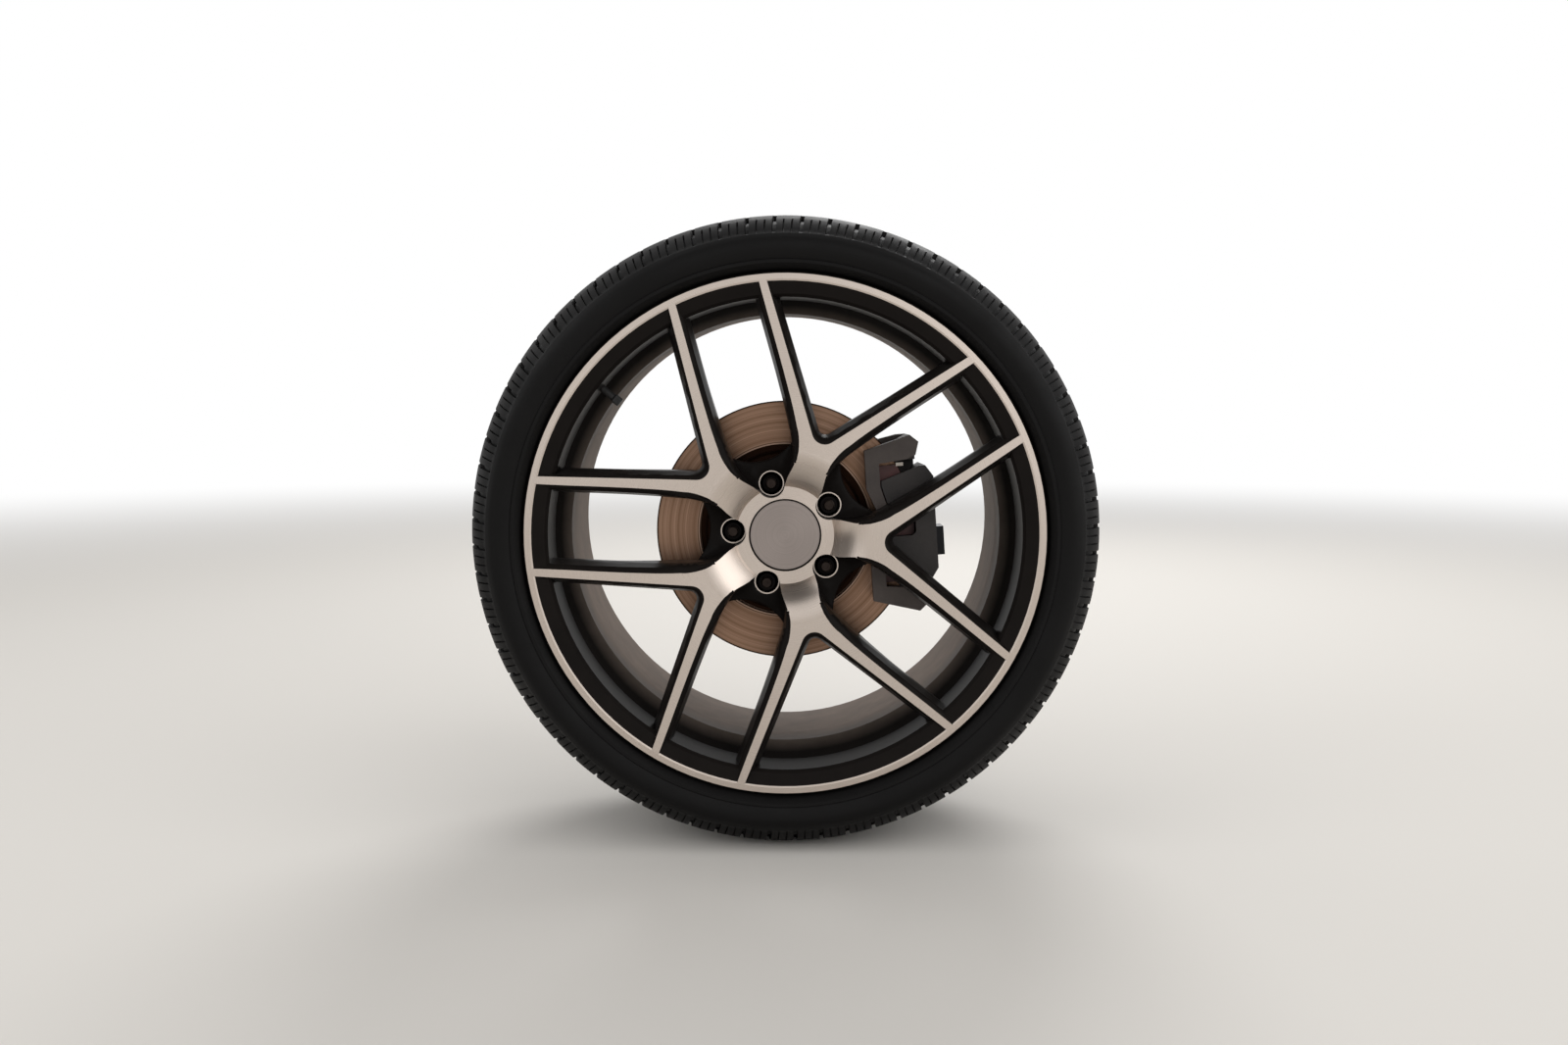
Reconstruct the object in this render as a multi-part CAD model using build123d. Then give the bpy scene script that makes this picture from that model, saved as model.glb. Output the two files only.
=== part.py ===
"""Rear wheel assembly of a three-wheeled roadster: tyre, twin-spoke wheel, vented disc brake,
hub with its carrier, and toothed belt pulley.

Depths run along +Y from the outer face of the rim, where the machined ring lies. Angles are
clockwise as seen from the outer side, from +X. At the end every piece moves by the depth of
the carrier's bolting face, so that the axle crosses that face at the origin.
"""
from build123d import *
import math
import os

# How far a cutting shape reaches past the face that it cuts
cut_margin = 1.0

# Rim
rim_flange_radius = 273.2
rim_edge_bevel = 1.7
rim_depth = 256.0
ring_width = 5.8
flange_thickness = 9.0
bead_seat_drop = 19.2
bead_seat_width = 25.0
bead_step = 1.0
rim_flange_edge = 1.5
rim_wall = 6.0
well_drop = 12.0
well_start = 84.0
well_end = 120.0
well_slope = 20.0
well_far_rise = 5.0
seat_shelf = 10.0
far_seat_slope = 8.0
far_wall_drop = 4.0
far_well_wall = 3.0
far_lip_width = 8.0
far_lip_depth = 3.0
lip_slope_depth = 3.5
lip_slope_drop = 14.7
lip_step = 4.0
barrel_slope = 34.0

# Tyre
tyre_radius = 336.5
tyre_width = 275.0
tyre_tread_thickness = 12.0
tyre_sidewall_thickness = 9.0
shoulder_radius_drop = 21.0
shoulder_depth = 11.0
tread_edge_drop = 6.5
tread_edge_width = 20.0
crown_width = 120.0
sidewall_bulge = 8.0
rim_guard_width = 4.0
rim_guard_depth = 2.0
inner_shoulder_width = 6.0
inner_shoulder_drop = 1.8
inner_side_radius_gap = 9.0
inner_side_depth = 2.0
inner_groove_offset = 25.5
outer_groove_offset = 67.5
tread_groove_width = 10.6
tread_groove_depth = 7.0
bead_clearance = 0.8

# Wheel face: five twin spokes between five lug pockets
spoke_count = 5
pocket_angle = 38.6
hub_face_depth = 28.0
spoke_root_depth = 6.0
hub_flat_radius = 52.0
cove_radius = 79.0
cove_bow = 0.66
cove_bow_depth = 0.26
spoke_back_depth = 32.0
spoke_waist_depth = 34.0
spoke_waist_radius = 180.0
pocket_web_back_depth = 54.0
pocket_web_inner_radius = 92.0
pocket_web_outer_radius = 120.0
pad_depth = 78.0
pad_radius = 80.0
pad_step_width = 4.0
pad_step_height = 18.0
pocket_floor_depth = 50.0
pocket_draft = 5.0
window_draft = 6.7
draft_end_depth = 25.0
pocket_shoulder = 3.4
window_shoulder = 1.7
shoulder_slope = 1.0
shoulder_above = 6.0
shoulder_below = 4.0
window_apex_radius = 97.9
window_half_angle = 37.3
window_corner_radius = 12.0
window_corner_draft = 0.6
window_outer_reach = 20.0
arch_radius = 52.0
arch_top_radius = 81.0
arch_bevel = 1.2

# Side of a lug pocket: distance from the axle, half width, share of the inset
pocket_sides = [(78.0, 32.9, 0.8), (108.0, 38.6, 1.0), (285.0, 44.6, 1.0)]

# Lugs and centre cap
lug_circle_radius = 56.0
lug_bore_radius = 12.4
lug_chamfer = 1.2
lug_bore_depth = 12.0
lug_end_radius = 16.0
lug_end_offset = 4.0
lug_end_share = 0.3
stud_radius = 6.0
stud_clearance = 1.0
stud_standout = 10.0
stud_chamfer_width = 1.3
stud_chamfer_depth = 1.6
nut_across_flats = 19.0
nut_thread_clearance = 0.05
nut_cone_depth = 4.0
nut_cone_radius = 10.0
nut_standout = 4.0
nut_chamfer_width = 2.0
nut_chamfer_depth = 2.5
cap_radius = 38.2
cap_gap = 0.4
cap_thickness = 5.0
cap_recess = 2.0
cap_edge = 1.5
cap_skirt_length = 8.0
cap_skirt_wall = 3.0
centre_bore_radius = 36.3

# Valve
valve_angle = 218.6
valve_stem_radius = 4.0
valve_cap_radius = 5.0
valve_reach = 15.0
valve_cap_length = 9.0
valve_fit = 0.05
valve_offset = 6.0
valve_hole_length = 60.0

# Brake disc
disc_radius = 142.4
disc_face_offset = 10.0
disc_thickness = 22.0
disc_plate_thickness = 7.5
friction_inner_radius = 95.0
hat_radius = 88.0
hat_wall = 6.0
hat_plate_thickness = 8.0
hat_edge = 3.0
vane_count = 36
vane_thickness = 5.0
vane_inset = 3.0

# Hub
hub_flange_thickness = 12.0
hub_flange_radius = 74.0
hub_spigot_clearance = 0.2
hub_spigot_offset = 12.0
hub_spigot_chamfer = 2.0
hub_shoulder_width = 8.0
hub_shaft_radius = 30.0
pulley_seat_radius = 26.0
shaft_standout = 4.0
shaft_chamfer = 2.0
shaft_bore_radius = 17.0
stud_head_radius = 9.0
stud_head_height = 4.0
stud_head_chamfer = 1.0

# Hub carrier
carrier_gap = 6.0
carrier_housing_radius = 62.0
carrier_waist_radius = 52.0
carrier_edge = 3.0
carrier_bore_gap = 6.0
carrier_bearing_shoulder = 6.0
carrier_front_taper = 30.0
carrier_back_taper = 24.0
carrier_length = 182.0
carrier_flange_radius = 98.0
carrier_flange_thickness = 16.0
carrier_spigot_radius = 62.0
carrier_spigot_length = 22.0
carrier_spigot_chamfer = 2.0
bolt_circle_radius = 82.0
bolt_count = 6
bolt_hole_radius = 6.5
bolt_first_angle = 30.0
scallop_offset = 6.0
scallop_radius = 16.0
bearing_width = 22.0
bearing_radius = 48.0
bearing_running_clearance = 0.05

# Belt pulley
pulley_teeth = 54
belt_pitch = 14.0
tooth_height = 6.0
pulley_width = 30.0
pulley_gap = 6.0
pulley_web_thickness = 9.0
pulley_hub_radius = 42.0
pulley_rim_wall = 8.0
pulley_window_count = 6
pulley_window_share = 0.32
tooth_gap_share = 0.29
tooth_root_share = 0.18
tooth_gap_depth = 4.2
pulley_fit = 0.05
axle_nut_across_flats = 60.0
axle_nut_height = 20.0
axle_washer_thickness = 4.0
axle_washer_margin = 8.0

# Brake caliper, in its own frame: radial distance, sideways distance and depth
caliper_angle = -4.0
pad_gap = 0.5
lining_thickness = 9.0
backing_thickness = 5.0
pad_half_width = 64.0
lining_half_width = 56.0
pad_inner_reach = 104.0
pad_edge_inset = 1.4
finger_thickness = 12.0
finger_clearance = 1.5
bridge_gap = 5.6
bridge_height = 16.0
bridge_half_width = 58.0
bridge_window_half_width = 22.0
finger_slot_half_width = 13.0
finger_slot_end = 142.0
finger_slot_bevel = 4.0
finger_inner_half_width = 48.0
finger_side_reach = 21.0
finger_side_step = 3.0
finger_outer_step = 14.0
bridge_side_bulge = 4.0
bridge_bevel = 8.0
piston_radius = 30.0
piston_housing_depth = 46.0
piston_housing_edge = 4.0
housing_block_depth = 24.0
housing_block_half_width = 34.0
union_size = 13.0
union_side = -26.0
union_half_width = 16.0
port_radius = 4.5
port_length = 12.0
bar_reach = 91.0
bar_height = 15.0
bar_bow = 9.0
bar_bow_outer_share = 0.72
bar_flat_half_width = 18.0
bar_flat_outer_half_width = 19.0
bar_bow_half_width = 40.0
bar_bow_outer_half_width = 42.0
bar_thickness = 12.0
bar_disc_gap = 16.0
bracket_arm_side = 67.0
bracket_arm_width = 15.0
bracket_tip_margin = 7.6
bracket_tip_inner_drop = 14.0
bracket_tip_inner_step = 3.0
bracket_leg_drop = 19.0
bracket_leg_inset = 6.0
bracket_leg_spread = 10.0
bracket_plate_bevel = 4.0
bracket_plate_thickness = 14.0
bracket_plate_gap = 6.0
mount_bolt_inset = 35.4
mount_bolt_side = 80.0
mount_bolt_radius = 5.0
guide_pin_inset = 3.4
guide_pin_side = 81.0
guide_pin_radius = 4.5
guide_ear_gap = 6.0
guide_ear_thickness = 10.0
guide_ear_half_height = 11.0
guide_ear_overlap = 4.0
pin_clearance = 0.05
pin_head_height = 7.0
guide_head_across_flats = 13.0
mount_head_across_flats = 16.0
arm_thickness = 14.0
arm_boss_radius = 13.0
arm_root_radius = 20.0
arm_root_side = 26.0

# Outer end of a bracket arm: distance in from the tip, sideways distance from the arm's outer side
bracket_tip = [(9.0, 14.0), (0.0, 6.0), (4.0, -8.0)]

# Sizes and depths that follow from those above
bead_seat_radius = rim_flange_radius - bead_seat_drop
seat_start_depth = flange_thickness + bead_step
seat_end_depth = seat_start_depth + bead_seat_width
ring_inner_radius = rim_flange_radius - rim_edge_bevel - ring_width
lip_foot_radius = ring_inner_radius - lip_slope_drop
barrel_inner_radius = bead_seat_radius - rim_wall
front_slope = spoke_root_depth / (ring_inner_radius - cove_radius)
hat_face_depth = pad_depth
disc_outer_depth = hat_face_depth + disc_face_offset
disc_inner_depth = disc_outer_depth + disc_thickness
hub_flange_depth = hat_face_depth + hat_plate_thickness
hub_back_depth = hub_flange_depth + hub_flange_thickness
carrier_front_depth = hub_back_depth + stud_head_height + carrier_gap
mount_depth = carrier_front_depth + carrier_length
nut_seat_depth = pocket_floor_depth + lug_bore_depth
stud_hole_radius = stud_radius + stud_clearance
spigot_end_depth = mount_depth + carrier_spigot_length
pulley_start_depth = spigot_end_depth + pulley_gap
pulley_end_depth = pulley_start_depth + pulley_width
bracket_front_depth = disc_inner_depth + bracket_plate_gap
bracket_back_depth = bracket_front_depth + bracket_plate_thickness
finger_end_depth = disc_outer_depth - pad_gap - lining_thickness - backing_thickness
body_start_depth = disc_inner_depth + pad_gap + lining_thickness + backing_thickness
bar_start_depth = disc_outer_depth - bar_thickness - bar_disc_gap
ear_start_depth = bracket_back_depth + guide_ear_gap
piston_reach = (pad_inner_reach + disc_radius) / 2
bar_outer_reach = bar_reach + bar_height
arm_outer_side = bracket_arm_side + bracket_arm_width
bracket_tip_reach = disc_radius + bracket_tip_margin
mount_bolt_reach = disc_radius - mount_bolt_inset
guide_pin_reach = disc_radius - guide_pin_inset
bridge_inner_reach = disc_radius + bridge_gap
bridge_outer_reach = bridge_inner_reach + bridge_height
pulley_pitch_radius = pulley_teeth * belt_pitch / (2 * math.pi)


def depth_plane(depth):
    """A plane square to the axle, with its own x along X and its own y along Z."""
    return Plane(origin=(0, depth, 0), x_dir=(1, 0, 0), z_dir=(0, -1, 0))


def prism(sketch, start, end):
    """A flat outline made solid between two depths."""
    return extrude(depth_plane(end) * sketch, amount=end - start)


def tapered(front, back, start, end):
    """A solid between two outlines of as many corners, at two depths."""
    return loft([depth_plane(start) * front, depth_plane(end) * back], ruled=True)


def turned(points):
    """A solid turned about the axle from (radius, depth) corners."""
    return revolve(make_face(Polyline(*points, close=True)), axis=Axis.Y)


def tube(inner, outer, start, end):
    """A plain ring about the axle."""
    return turned([(inner, start), (outer, start), (outer, end), (inner, end)])


def turn(angle, shape):
    """The shape turned about the axle, clockwise from the outer side."""
    return Rot(0, angle, 0) * shape


def around(count, shape, first=0.0):
    """Copies of a shape evenly spaced about the axle."""
    return [turn(first + 360.0 * i / count, shape) for i in range(count)]


def lip_points():
    """The outer lip's inner side, shared by barrel and spokes, from the ring to the wall."""
    return [
        (ring_inner_radius, 0.0),
        (lip_foot_radius, lip_slope_depth),
        (barrel_inner_radius, lip_slope_depth + lip_step),
        (barrel_inner_radius, well_start - barrel_slope),
    ]


def make_barrel():
    """Rim barrel: two flanges, two bead seats and a drop centre, with the valve hole."""
    far_seat = rim_depth - seat_end_depth
    far_flange = rim_depth - seat_start_depth
    well_radius = bead_seat_radius - well_drop
    far_wall = barrel_inner_radius - far_wall_drop
    edge = rim_flange_edge
    bevel = rim_edge_bevel
    outer = [
        (bead_seat_radius, far_flange),
        (bead_seat_radius, far_seat),
        (bead_seat_radius - rim_wall, far_seat - far_seat_slope),
        (well_radius + well_far_rise, well_end + well_slope),
        (well_radius, well_end),
        (well_radius, well_start),
        (bead_seat_radius, seat_end_depth + seat_shelf),
        (bead_seat_radius, seat_start_depth),
        (rim_flange_radius - edge, seat_start_depth),
        (rim_flange_radius, seat_start_depth - edge),
        (rim_flange_radius, bevel),
        (rim_flange_radius - bevel, 0.0),
    ]
    inner = lip_points() + [
        (well_radius - rim_wall, well_start),
        (well_radius - rim_wall, well_end),
        (far_wall - far_well_wall, well_end + well_slope),
        (far_wall, far_flange),
        (ring_inner_radius - far_lip_width, rim_depth - far_lip_depth),
        (ring_inner_radius, rim_depth),
        (rim_flange_radius - bevel, rim_depth),
        (rim_flange_radius, rim_depth - bevel),
        (rim_flange_radius, far_flange + edge),
        (rim_flange_radius - edge, far_flange),
    ]
    return turned(inner + outer) - valve_place() * Cylinder(valve_stem_radius, valve_hole_length)


def valve_place():
    """Where the valve crosses the barrel wall behind the outer bead seat."""
    radius = bead_seat_radius - rim_wall / 2
    depth = seat_end_depth + valve_offset
    return Rot(0, valve_angle, 0) * Pos(radius, depth, 0) * Rot(0, 90, 0)


def make_tyre():
    """Tyre casing: beads on the seats, sidewalls over the rim's edge and four grooves round it."""
    middle = rim_depth / 2
    side = middle - tyre_width / 2
    shoulder = tyre_radius - shoulder_radius_drop
    crown_start = middle - crown_width / 2
    guard = rim_flange_radius + bead_clearance
    outside = [
        (bead_seat_radius, seat_end_depth),
        (bead_seat_radius, seat_start_depth),
        (guard, seat_start_depth),
        (guard + rim_guard_width, side + rim_guard_depth),
        ((rim_flange_radius + shoulder) / 2 + sidewall_bulge, side),
        (shoulder, side + shoulder_depth),
        (tyre_radius - tread_edge_drop, side + shoulder_depth + tread_edge_width),
        (tyre_radius, crown_start),
    ]
    inner_side = side + tyre_sidewall_thickness
    inside = [
        (tyre_radius - tyre_tread_thickness, crown_start),
        (shoulder - inner_shoulder_drop, inner_side + shoulder_depth + inner_shoulder_width),
        (rim_flange_radius + inner_side_radius_gap, inner_side + inner_side_depth),
    ]
    casing = turned(outside + mirrored(outside, middle) + mirrored(inside, middle) + inside)
    half = tread_groove_width / 2
    floor = tyre_radius - tread_groove_depth
    for offset in (inner_groove_offset, outer_groove_offset):
        for centre in (middle - offset, middle + offset):
            casing -= tube(floor, tyre_radius + cut_margin, centre - half, centre + half)
    return casing


def mirrored(points, middle):
    """The points' mirror images about a depth, in the opposite order."""
    return [(r, 2 * middle - d) for r, d in reversed(points)]


def pocket_side(inset, lean):
    """Points of a pocket's side: the middle and end of its arc, and its outer end."""
    return [
        (x, w - share * inset + lean * (ring_inner_radius - x)) for x, w, share in pocket_sides
    ]


def pocket_outline(inset, lean=0.0):
    """Lug pocket between two blades, wrapped about the lug; lean opens it towards the axle."""
    end_radius = lug_end_radius - inset * lug_end_share
    start = lug_circle_radius - lug_end_offset
    middle, join, far = pocket_side(inset, lean)
    start_half = math.sqrt(end_radius**2 - lug_end_offset**2)
    upper = ThreePointArc((start, start_half), middle, join)
    straight = Polyline(join, far, (far[0], -far[1]), (join[0], -join[1]))
    lower = ThreePointArc((join[0], -join[1]), (middle[0], -middle[1]), (start, -start_half))
    end = ThreePointArc(
        (start, -start_half), (lug_circle_radius - end_radius, 0), (start, start_half)
    )
    return make_face([upper, straight, lower, end])


def arch_tools(past):
    """What opens a lug pocket beyond its arched floor, with a bevel along the arch."""
    centre = arch_top_radius + arch_radius
    length = rim_flange_radius - centre
    floor = pocket_floor_depth
    open_area = Pos(centre, 0) * Circle(arch_radius)
    open_area += Pos(centre + length / 2, 0) * Rectangle(length, 2 * arch_radius)
    bevel = Pos(centre, 0, 0) * turned([
        (0.0, floor),
        (arch_radius + arch_bevel, floor),
        (arch_radius, floor + arch_bevel),
        (0.0, floor + arch_bevel),
    ])
    bevel &= prism(pocket_outline(pocket_draft), floor - cut_margin, floor + 2 * arch_bevel)
    start = floor - cut_margin
    return [prism(pocket_outline(pocket_draft) & open_area, start, past), bevel]


def window_outline(inset, lean=0.0):
    """V-shaped window between two spokes, rounded at its apex; lean narrows it outwards."""
    inset -= lean * (ring_inner_radius - window_apex_radius)
    slope = math.radians(window_half_angle) - lean
    apex = window_apex_radius + inset / math.sin(slope)
    corner = window_corner_radius - window_corner_draft * inset
    centre = apex + corner / math.sin(slope)
    touch = (centre - corner * math.sin(slope), corner * math.cos(slope))
    reach = rim_flange_radius + window_outer_reach
    far = (reach, (reach - apex) * math.tan(slope))
    edges = Polyline(touch, far, (far[0], -far[1]), (touch[0], -touch[1]))
    end = ThreePointArc((touch[0], -touch[1]), (centre - corner, 0), touch)
    return make_face([edges, end])


def make_face_blank():
    """The wheel's centre before its windows: a dished, coved front and a stepped back."""
    lip = lip_points()
    front = Polyline((ring_inner_radius, 0.0), (cove_radius, spoke_root_depth))
    cove = ThreePointArc(
        (cove_radius, spoke_root_depth),
        (
            hub_flat_radius + cove_bow * (cove_radius - hub_flat_radius),
            hub_face_depth - cove_bow_depth * (hub_face_depth - spoke_root_depth),
        ),
        (hub_flat_radius, hub_face_depth),
    )
    seat = cap_radius + cap_gap
    cap_seat_depth = hub_face_depth + cap_recess + cap_thickness
    rest = Polyline(
        (hub_flat_radius, hub_face_depth),
        (seat, hub_face_depth),
        (seat, cap_seat_depth),
        (centre_bore_radius, cap_seat_depth),
        (centre_bore_radius, pad_depth),
        (pad_radius, pad_depth),
        (pad_radius + pad_step_width, pad_depth - pad_step_height),
        (pocket_web_inner_radius, pocket_web_back_depth),
        (pocket_web_outer_radius, pocket_web_back_depth),
        (spoke_waist_radius, spoke_waist_depth),
        (barrel_inner_radius, spoke_back_depth),
        lip[2],
        lip[1],
        lip[0],
    )
    return revolve(make_face([front, cove, rest]), axis=Axis.Y)


def opening_tools(outline, draft, shoulder, end):
    """What cuts an opening: its sloped shoulder, its drafted wall and the straight wall behind."""
    lean = shoulder_slope * front_slope
    above = -shoulder_above
    below = spoke_root_depth + shoulder_below
    wide = -(shoulder + shoulder_slope * shoulder_above)
    narrow = -(shoulder - shoulder_slope * below)
    return [
        tapered(outline(wide, lean), outline(narrow, lean), above, below),
        tapered(outline(0.0), outline(draft), 0.0, draft_end_depth),
        prism(outline(draft), draft_end_depth, end),
    ]


def make_wheel_face():
    """Five twin-spoke arms left between V windows and lug pockets, with sloped shoulders."""
    past = pad_depth + cut_margin
    pocket = opening_tools(pocket_outline, pocket_draft, pocket_shoulder, pocket_floor_depth)
    pocket += arch_tools(past) + [lug_bore()]
    window = opening_tools(window_outline, window_draft, window_shoulder, past)
    shape = make_face_blank()
    half_pitch = 180.0 / spoke_count
    for i in range(spoke_count):
        angle = pocket_angle + 360.0 * i / spoke_count
        shape -= [turn(angle, tool) for tool in pocket]
        shape -= [turn(angle - half_pitch, tool) for tool in window]
    return shape


def lug_bore():
    """Nut recess, cone seat and stud hole at the foot of a lug pocket."""
    start = pocket_floor_depth - cut_margin
    end = pad_depth + cut_margin
    mouth = lug_bore_radius + lug_chamfer
    profile = [
        (0.0, start),
        (mouth, start),
        (mouth, pocket_floor_depth),
        (lug_bore_radius, pocket_floor_depth + lug_chamfer),
        (lug_bore_radius, nut_seat_depth),
        (nut_cone_radius, nut_seat_depth),
        (stud_hole_radius, nut_seat_depth + nut_cone_depth),
        (stud_hole_radius, end),
        (0.0, end),
    ]
    return Pos(lug_circle_radius, 0, 0) * turned(profile)


def make_nut():
    """Lug nut with a cone seat and a chamfered end, open so that the stud shows."""
    seat = nut_seat_depth
    front = pocket_floor_depth - nut_standout
    flat = nut_across_flats / 2
    corner = nut_across_flats / math.sqrt(3)
    cone_slope = nut_cone_depth / (nut_cone_radius - stud_hole_radius)
    cone_tip = seat + cone_slope * (flat - stud_hole_radius)
    head = prism(RegularPolygon(flat, 6, major_radius=False), front, seat)
    head &= turned([
        (0.0, front),
        (corner - nut_chamfer_width, front),
        (corner, front + nut_chamfer_depth),
        (corner, seat),
        (0.0, seat),
    ])
    cone = turned([(0.0, seat), (flat, seat), (stud_hole_radius, cone_tip), (0.0, cone_tip)])
    bore = tube(0.0, stud_radius + nut_thread_clearance, front - cut_margin, cone_tip + cut_margin)
    return Pos(lug_circle_radius, 0, 0) * (head + cone - bore)


def make_stud():
    """Wheel stud pressed through the hub flange from behind."""
    tip = pocket_floor_depth - stud_standout
    end = hub_back_depth + stud_head_height
    profile = [
        (0.0, tip),
        (stud_radius - stud_chamfer_width, tip),
        (stud_radius, tip + stud_chamfer_depth),
        (stud_radius, hub_back_depth),
        (stud_head_radius, hub_back_depth),
        (stud_head_radius, end - stud_head_chamfer),
        (stud_head_radius - stud_head_chamfer, end),
        (0.0, end),
    ]
    return Pos(lug_circle_radius, 0, 0) * turned(profile)


def make_cap():
    """Plain centre cap: a shallow disc with a skirt in the centre bore."""
    top = hub_face_depth + cap_recess
    bottom = top + cap_thickness
    skirt = centre_bore_radius - cap_gap
    skirt_inner = skirt - cap_skirt_wall
    skirt_end = bottom + cap_skirt_length
    return turned([
        (0.0, top),
        (cap_radius - cap_edge, top),
        (cap_radius, top + cap_edge),
        (cap_radius, bottom),
        (skirt, bottom),
        (skirt, skirt_end),
        (skirt_inner, skirt_end),
        (skirt_inner, bottom),
        (0.0, bottom),
    ])


def make_disc():
    """Vented brake disc: two friction plates, straight vanes and a hat that sits on the hub."""
    hat_inner = hat_radius - hat_wall
    bore = centre_bore_radius + hub_spigot_clearance
    inner_plate = disc_inner_depth - disc_plate_thickness
    outer_plate_end = disc_outer_depth + disc_plate_thickness
    hat = turned([
        (bore, hat_face_depth),
        (hat_radius - hat_edge, hat_face_depth),
        (hat_radius, hat_face_depth + hat_edge),
        (hat_radius, inner_plate),
        (disc_radius, inner_plate),
        (disc_radius, disc_inner_depth),
        (hat_inner, disc_inner_depth),
        (hat_inner, hub_flange_depth),
        (bore, hub_flange_depth),
    ])
    outer = tube(friction_inner_radius, disc_radius, disc_outer_depth, outer_plate_end)
    length = disc_radius - friction_inner_radius - 2 * vane_inset
    height = inner_plate - outer_plate_end + cut_margin
    place = Pos((friction_inner_radius + disc_radius) / 2, (outer_plate_end + inner_plate) / 2, 0)
    vane = place * Box(length, height, vane_thickness)
    disc = hat + outer + around(vane_count, vane)
    stud_hole = Pos(lug_circle_radius, 0, 0) * tube(
        0.0, stud_hole_radius, hat_face_depth - cut_margin, hub_flange_depth + cut_margin
    )
    disc -= around(spoke_count, stud_hole, pocket_angle)
    return disc


def make_hub():
    """Hub: spigot, stud flange, bearing shaft and the stepped end for the pulley."""
    spigot = centre_bore_radius - hub_spigot_clearance
    spigot_start = hub_face_depth + cap_recess + cap_thickness + hub_spigot_offset
    shaft_end = pulley_end_depth + axle_washer_thickness + axle_nut_height + shaft_standout
    shoulder = hub_shaft_radius + hub_shoulder_width
    hub = turned([
        (0.0, spigot_start),
        (spigot - hub_spigot_chamfer, spigot_start),
        (spigot, spigot_start + hub_spigot_chamfer),
        (spigot, hub_flange_depth),
        (hub_flange_radius, hub_flange_depth),
        (hub_flange_radius, hub_back_depth),
        (shoulder, hub_back_depth),
        (shoulder, carrier_front_depth),
        (hub_shaft_radius, carrier_front_depth),
        (hub_shaft_radius, pulley_start_depth),
        (pulley_seat_radius, pulley_start_depth),
        (pulley_seat_radius, shaft_end - shaft_chamfer),
        (pulley_seat_radius - shaft_chamfer, shaft_end),
        (shaft_bore_radius, shaft_end),
        (shaft_bore_radius, hub_flange_depth),
        (0.0, hub_flange_depth),
    ])
    hole = Pos(lug_circle_radius, 0, 0) * tube(
        0.0, stud_radius, hub_flange_depth - cut_margin, hub_back_depth + cut_margin
    )
    return hub - around(spoke_count, hole, pocket_angle)


def make_bearing(start):
    """Wheel bearing, a plain closed ring between shaft and housing."""
    return tube(
        hub_shaft_radius + bearing_running_clearance, bearing_radius, start, start + bearing_width
    )


def caliper_place(shape):
    """From the caliper's own frame to the wheel's."""
    return turn(caliper_angle, shape)


def block(reach, side, depth):
    """A box from its (low, high) pairs of radial distance, sideways distance and depth."""
    size = [high - low for low, high in (reach, depth, side)]
    middle = [(high + low) / 2 for low, high in (reach, depth, side)]
    return Pos(*middle) * Box(*size)


def pin(reach, side, radius, start, end):
    """A round pin along the axle's direction in the caliper's frame."""
    return Pos(reach, 0, side) * tube(0.0, radius, start, end)


def both_sides(points):
    """An outline from its half with positive sideways distances, starting and ending mid-way."""
    return make_face(Polyline(*points, *[(x, -w) for x, w in reversed(points) if w > 0], close=True))


def one_side(points, side):
    """An outline on one side only, given for the positive side."""
    return make_face(Polyline(*[(x, side * w) for x, w in points], close=True))


def make_carrier():
    """Hub carrier: bearing housing, waist, bolting flange with spigot, and two caliper arms."""
    front = carrier_front_depth
    flange_start = mount_depth - carrier_flange_thickness
    bore = bearing_radius
    through = hub_shaft_radius + carrier_bore_gap
    near_bearing_end = front + bearing_width
    housing_end = near_bearing_end + carrier_bearing_shoulder
    far_bearing = spigot_end_depth - bearing_width
    body = turned([
        (bore, front),
        (carrier_housing_radius - carrier_edge, front),
        (carrier_housing_radius, front + carrier_edge),
        (carrier_housing_radius, housing_end),
        (carrier_waist_radius, housing_end + carrier_front_taper),
        (carrier_waist_radius, flange_start - carrier_back_taper),
        (carrier_spigot_radius, flange_start),
        (carrier_flange_radius, flange_start),
        (carrier_flange_radius, mount_depth),
        (carrier_spigot_radius, mount_depth),
        (carrier_spigot_radius, spigot_end_depth - carrier_spigot_chamfer),
        (carrier_spigot_radius - carrier_spigot_chamfer, spigot_end_depth),
        (bore, spigot_end_depth),
        (bore, far_bearing),
        (through, far_bearing),
        (through, near_bearing_end),
        (bore, near_bearing_end),
    ])
    through_flange = (flange_start - cut_margin, mount_depth + cut_margin)
    bolt_hole = Pos(bolt_circle_radius, 0, 0) * tube(0.0, bolt_hole_radius, *through_flange)
    body -= around(bolt_count, bolt_hole, bolt_first_angle)
    scallop_place = Pos(carrier_flange_radius + scallop_offset, 0, 0)
    scallop = scallop_place * tube(0.0, scallop_radius, *through_flange)
    body -= around(bolt_count, scallop, bolt_first_angle + 180.0 / bolt_count)
    arm_end = bracket_back_depth + arm_thickness
    hollow = tube(0.0, bore, front - cut_margin, near_bearing_end)
    hollow += tube(0.0, through, front, spigot_end_depth)
    for side in (-1, 1):
        root_place = Pos(carrier_housing_radius - arm_root_radius, side * arm_root_side)
        root = root_place * Circle(arm_root_radius)
        tip = Pos(mount_bolt_reach, side * mount_bolt_side) * Circle(arm_boss_radius)
        arm = prism(make_hull([*root.edges(), *tip.edges()]), bracket_back_depth, arm_end)
        arm -= mount_bolt_hole(side, bracket_back_depth, arm_end)
        body += caliper_place(arm) - hollow
    return body


def mount_bolt_hole(side, start, end):
    """The hole for a mounting bolt, through carrier arm or bracket plate."""
    radius = mount_bolt_radius + pin_clearance
    return pin(mount_bolt_reach, side * mount_bolt_side, radius, start - cut_margin, end + cut_margin)


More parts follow.
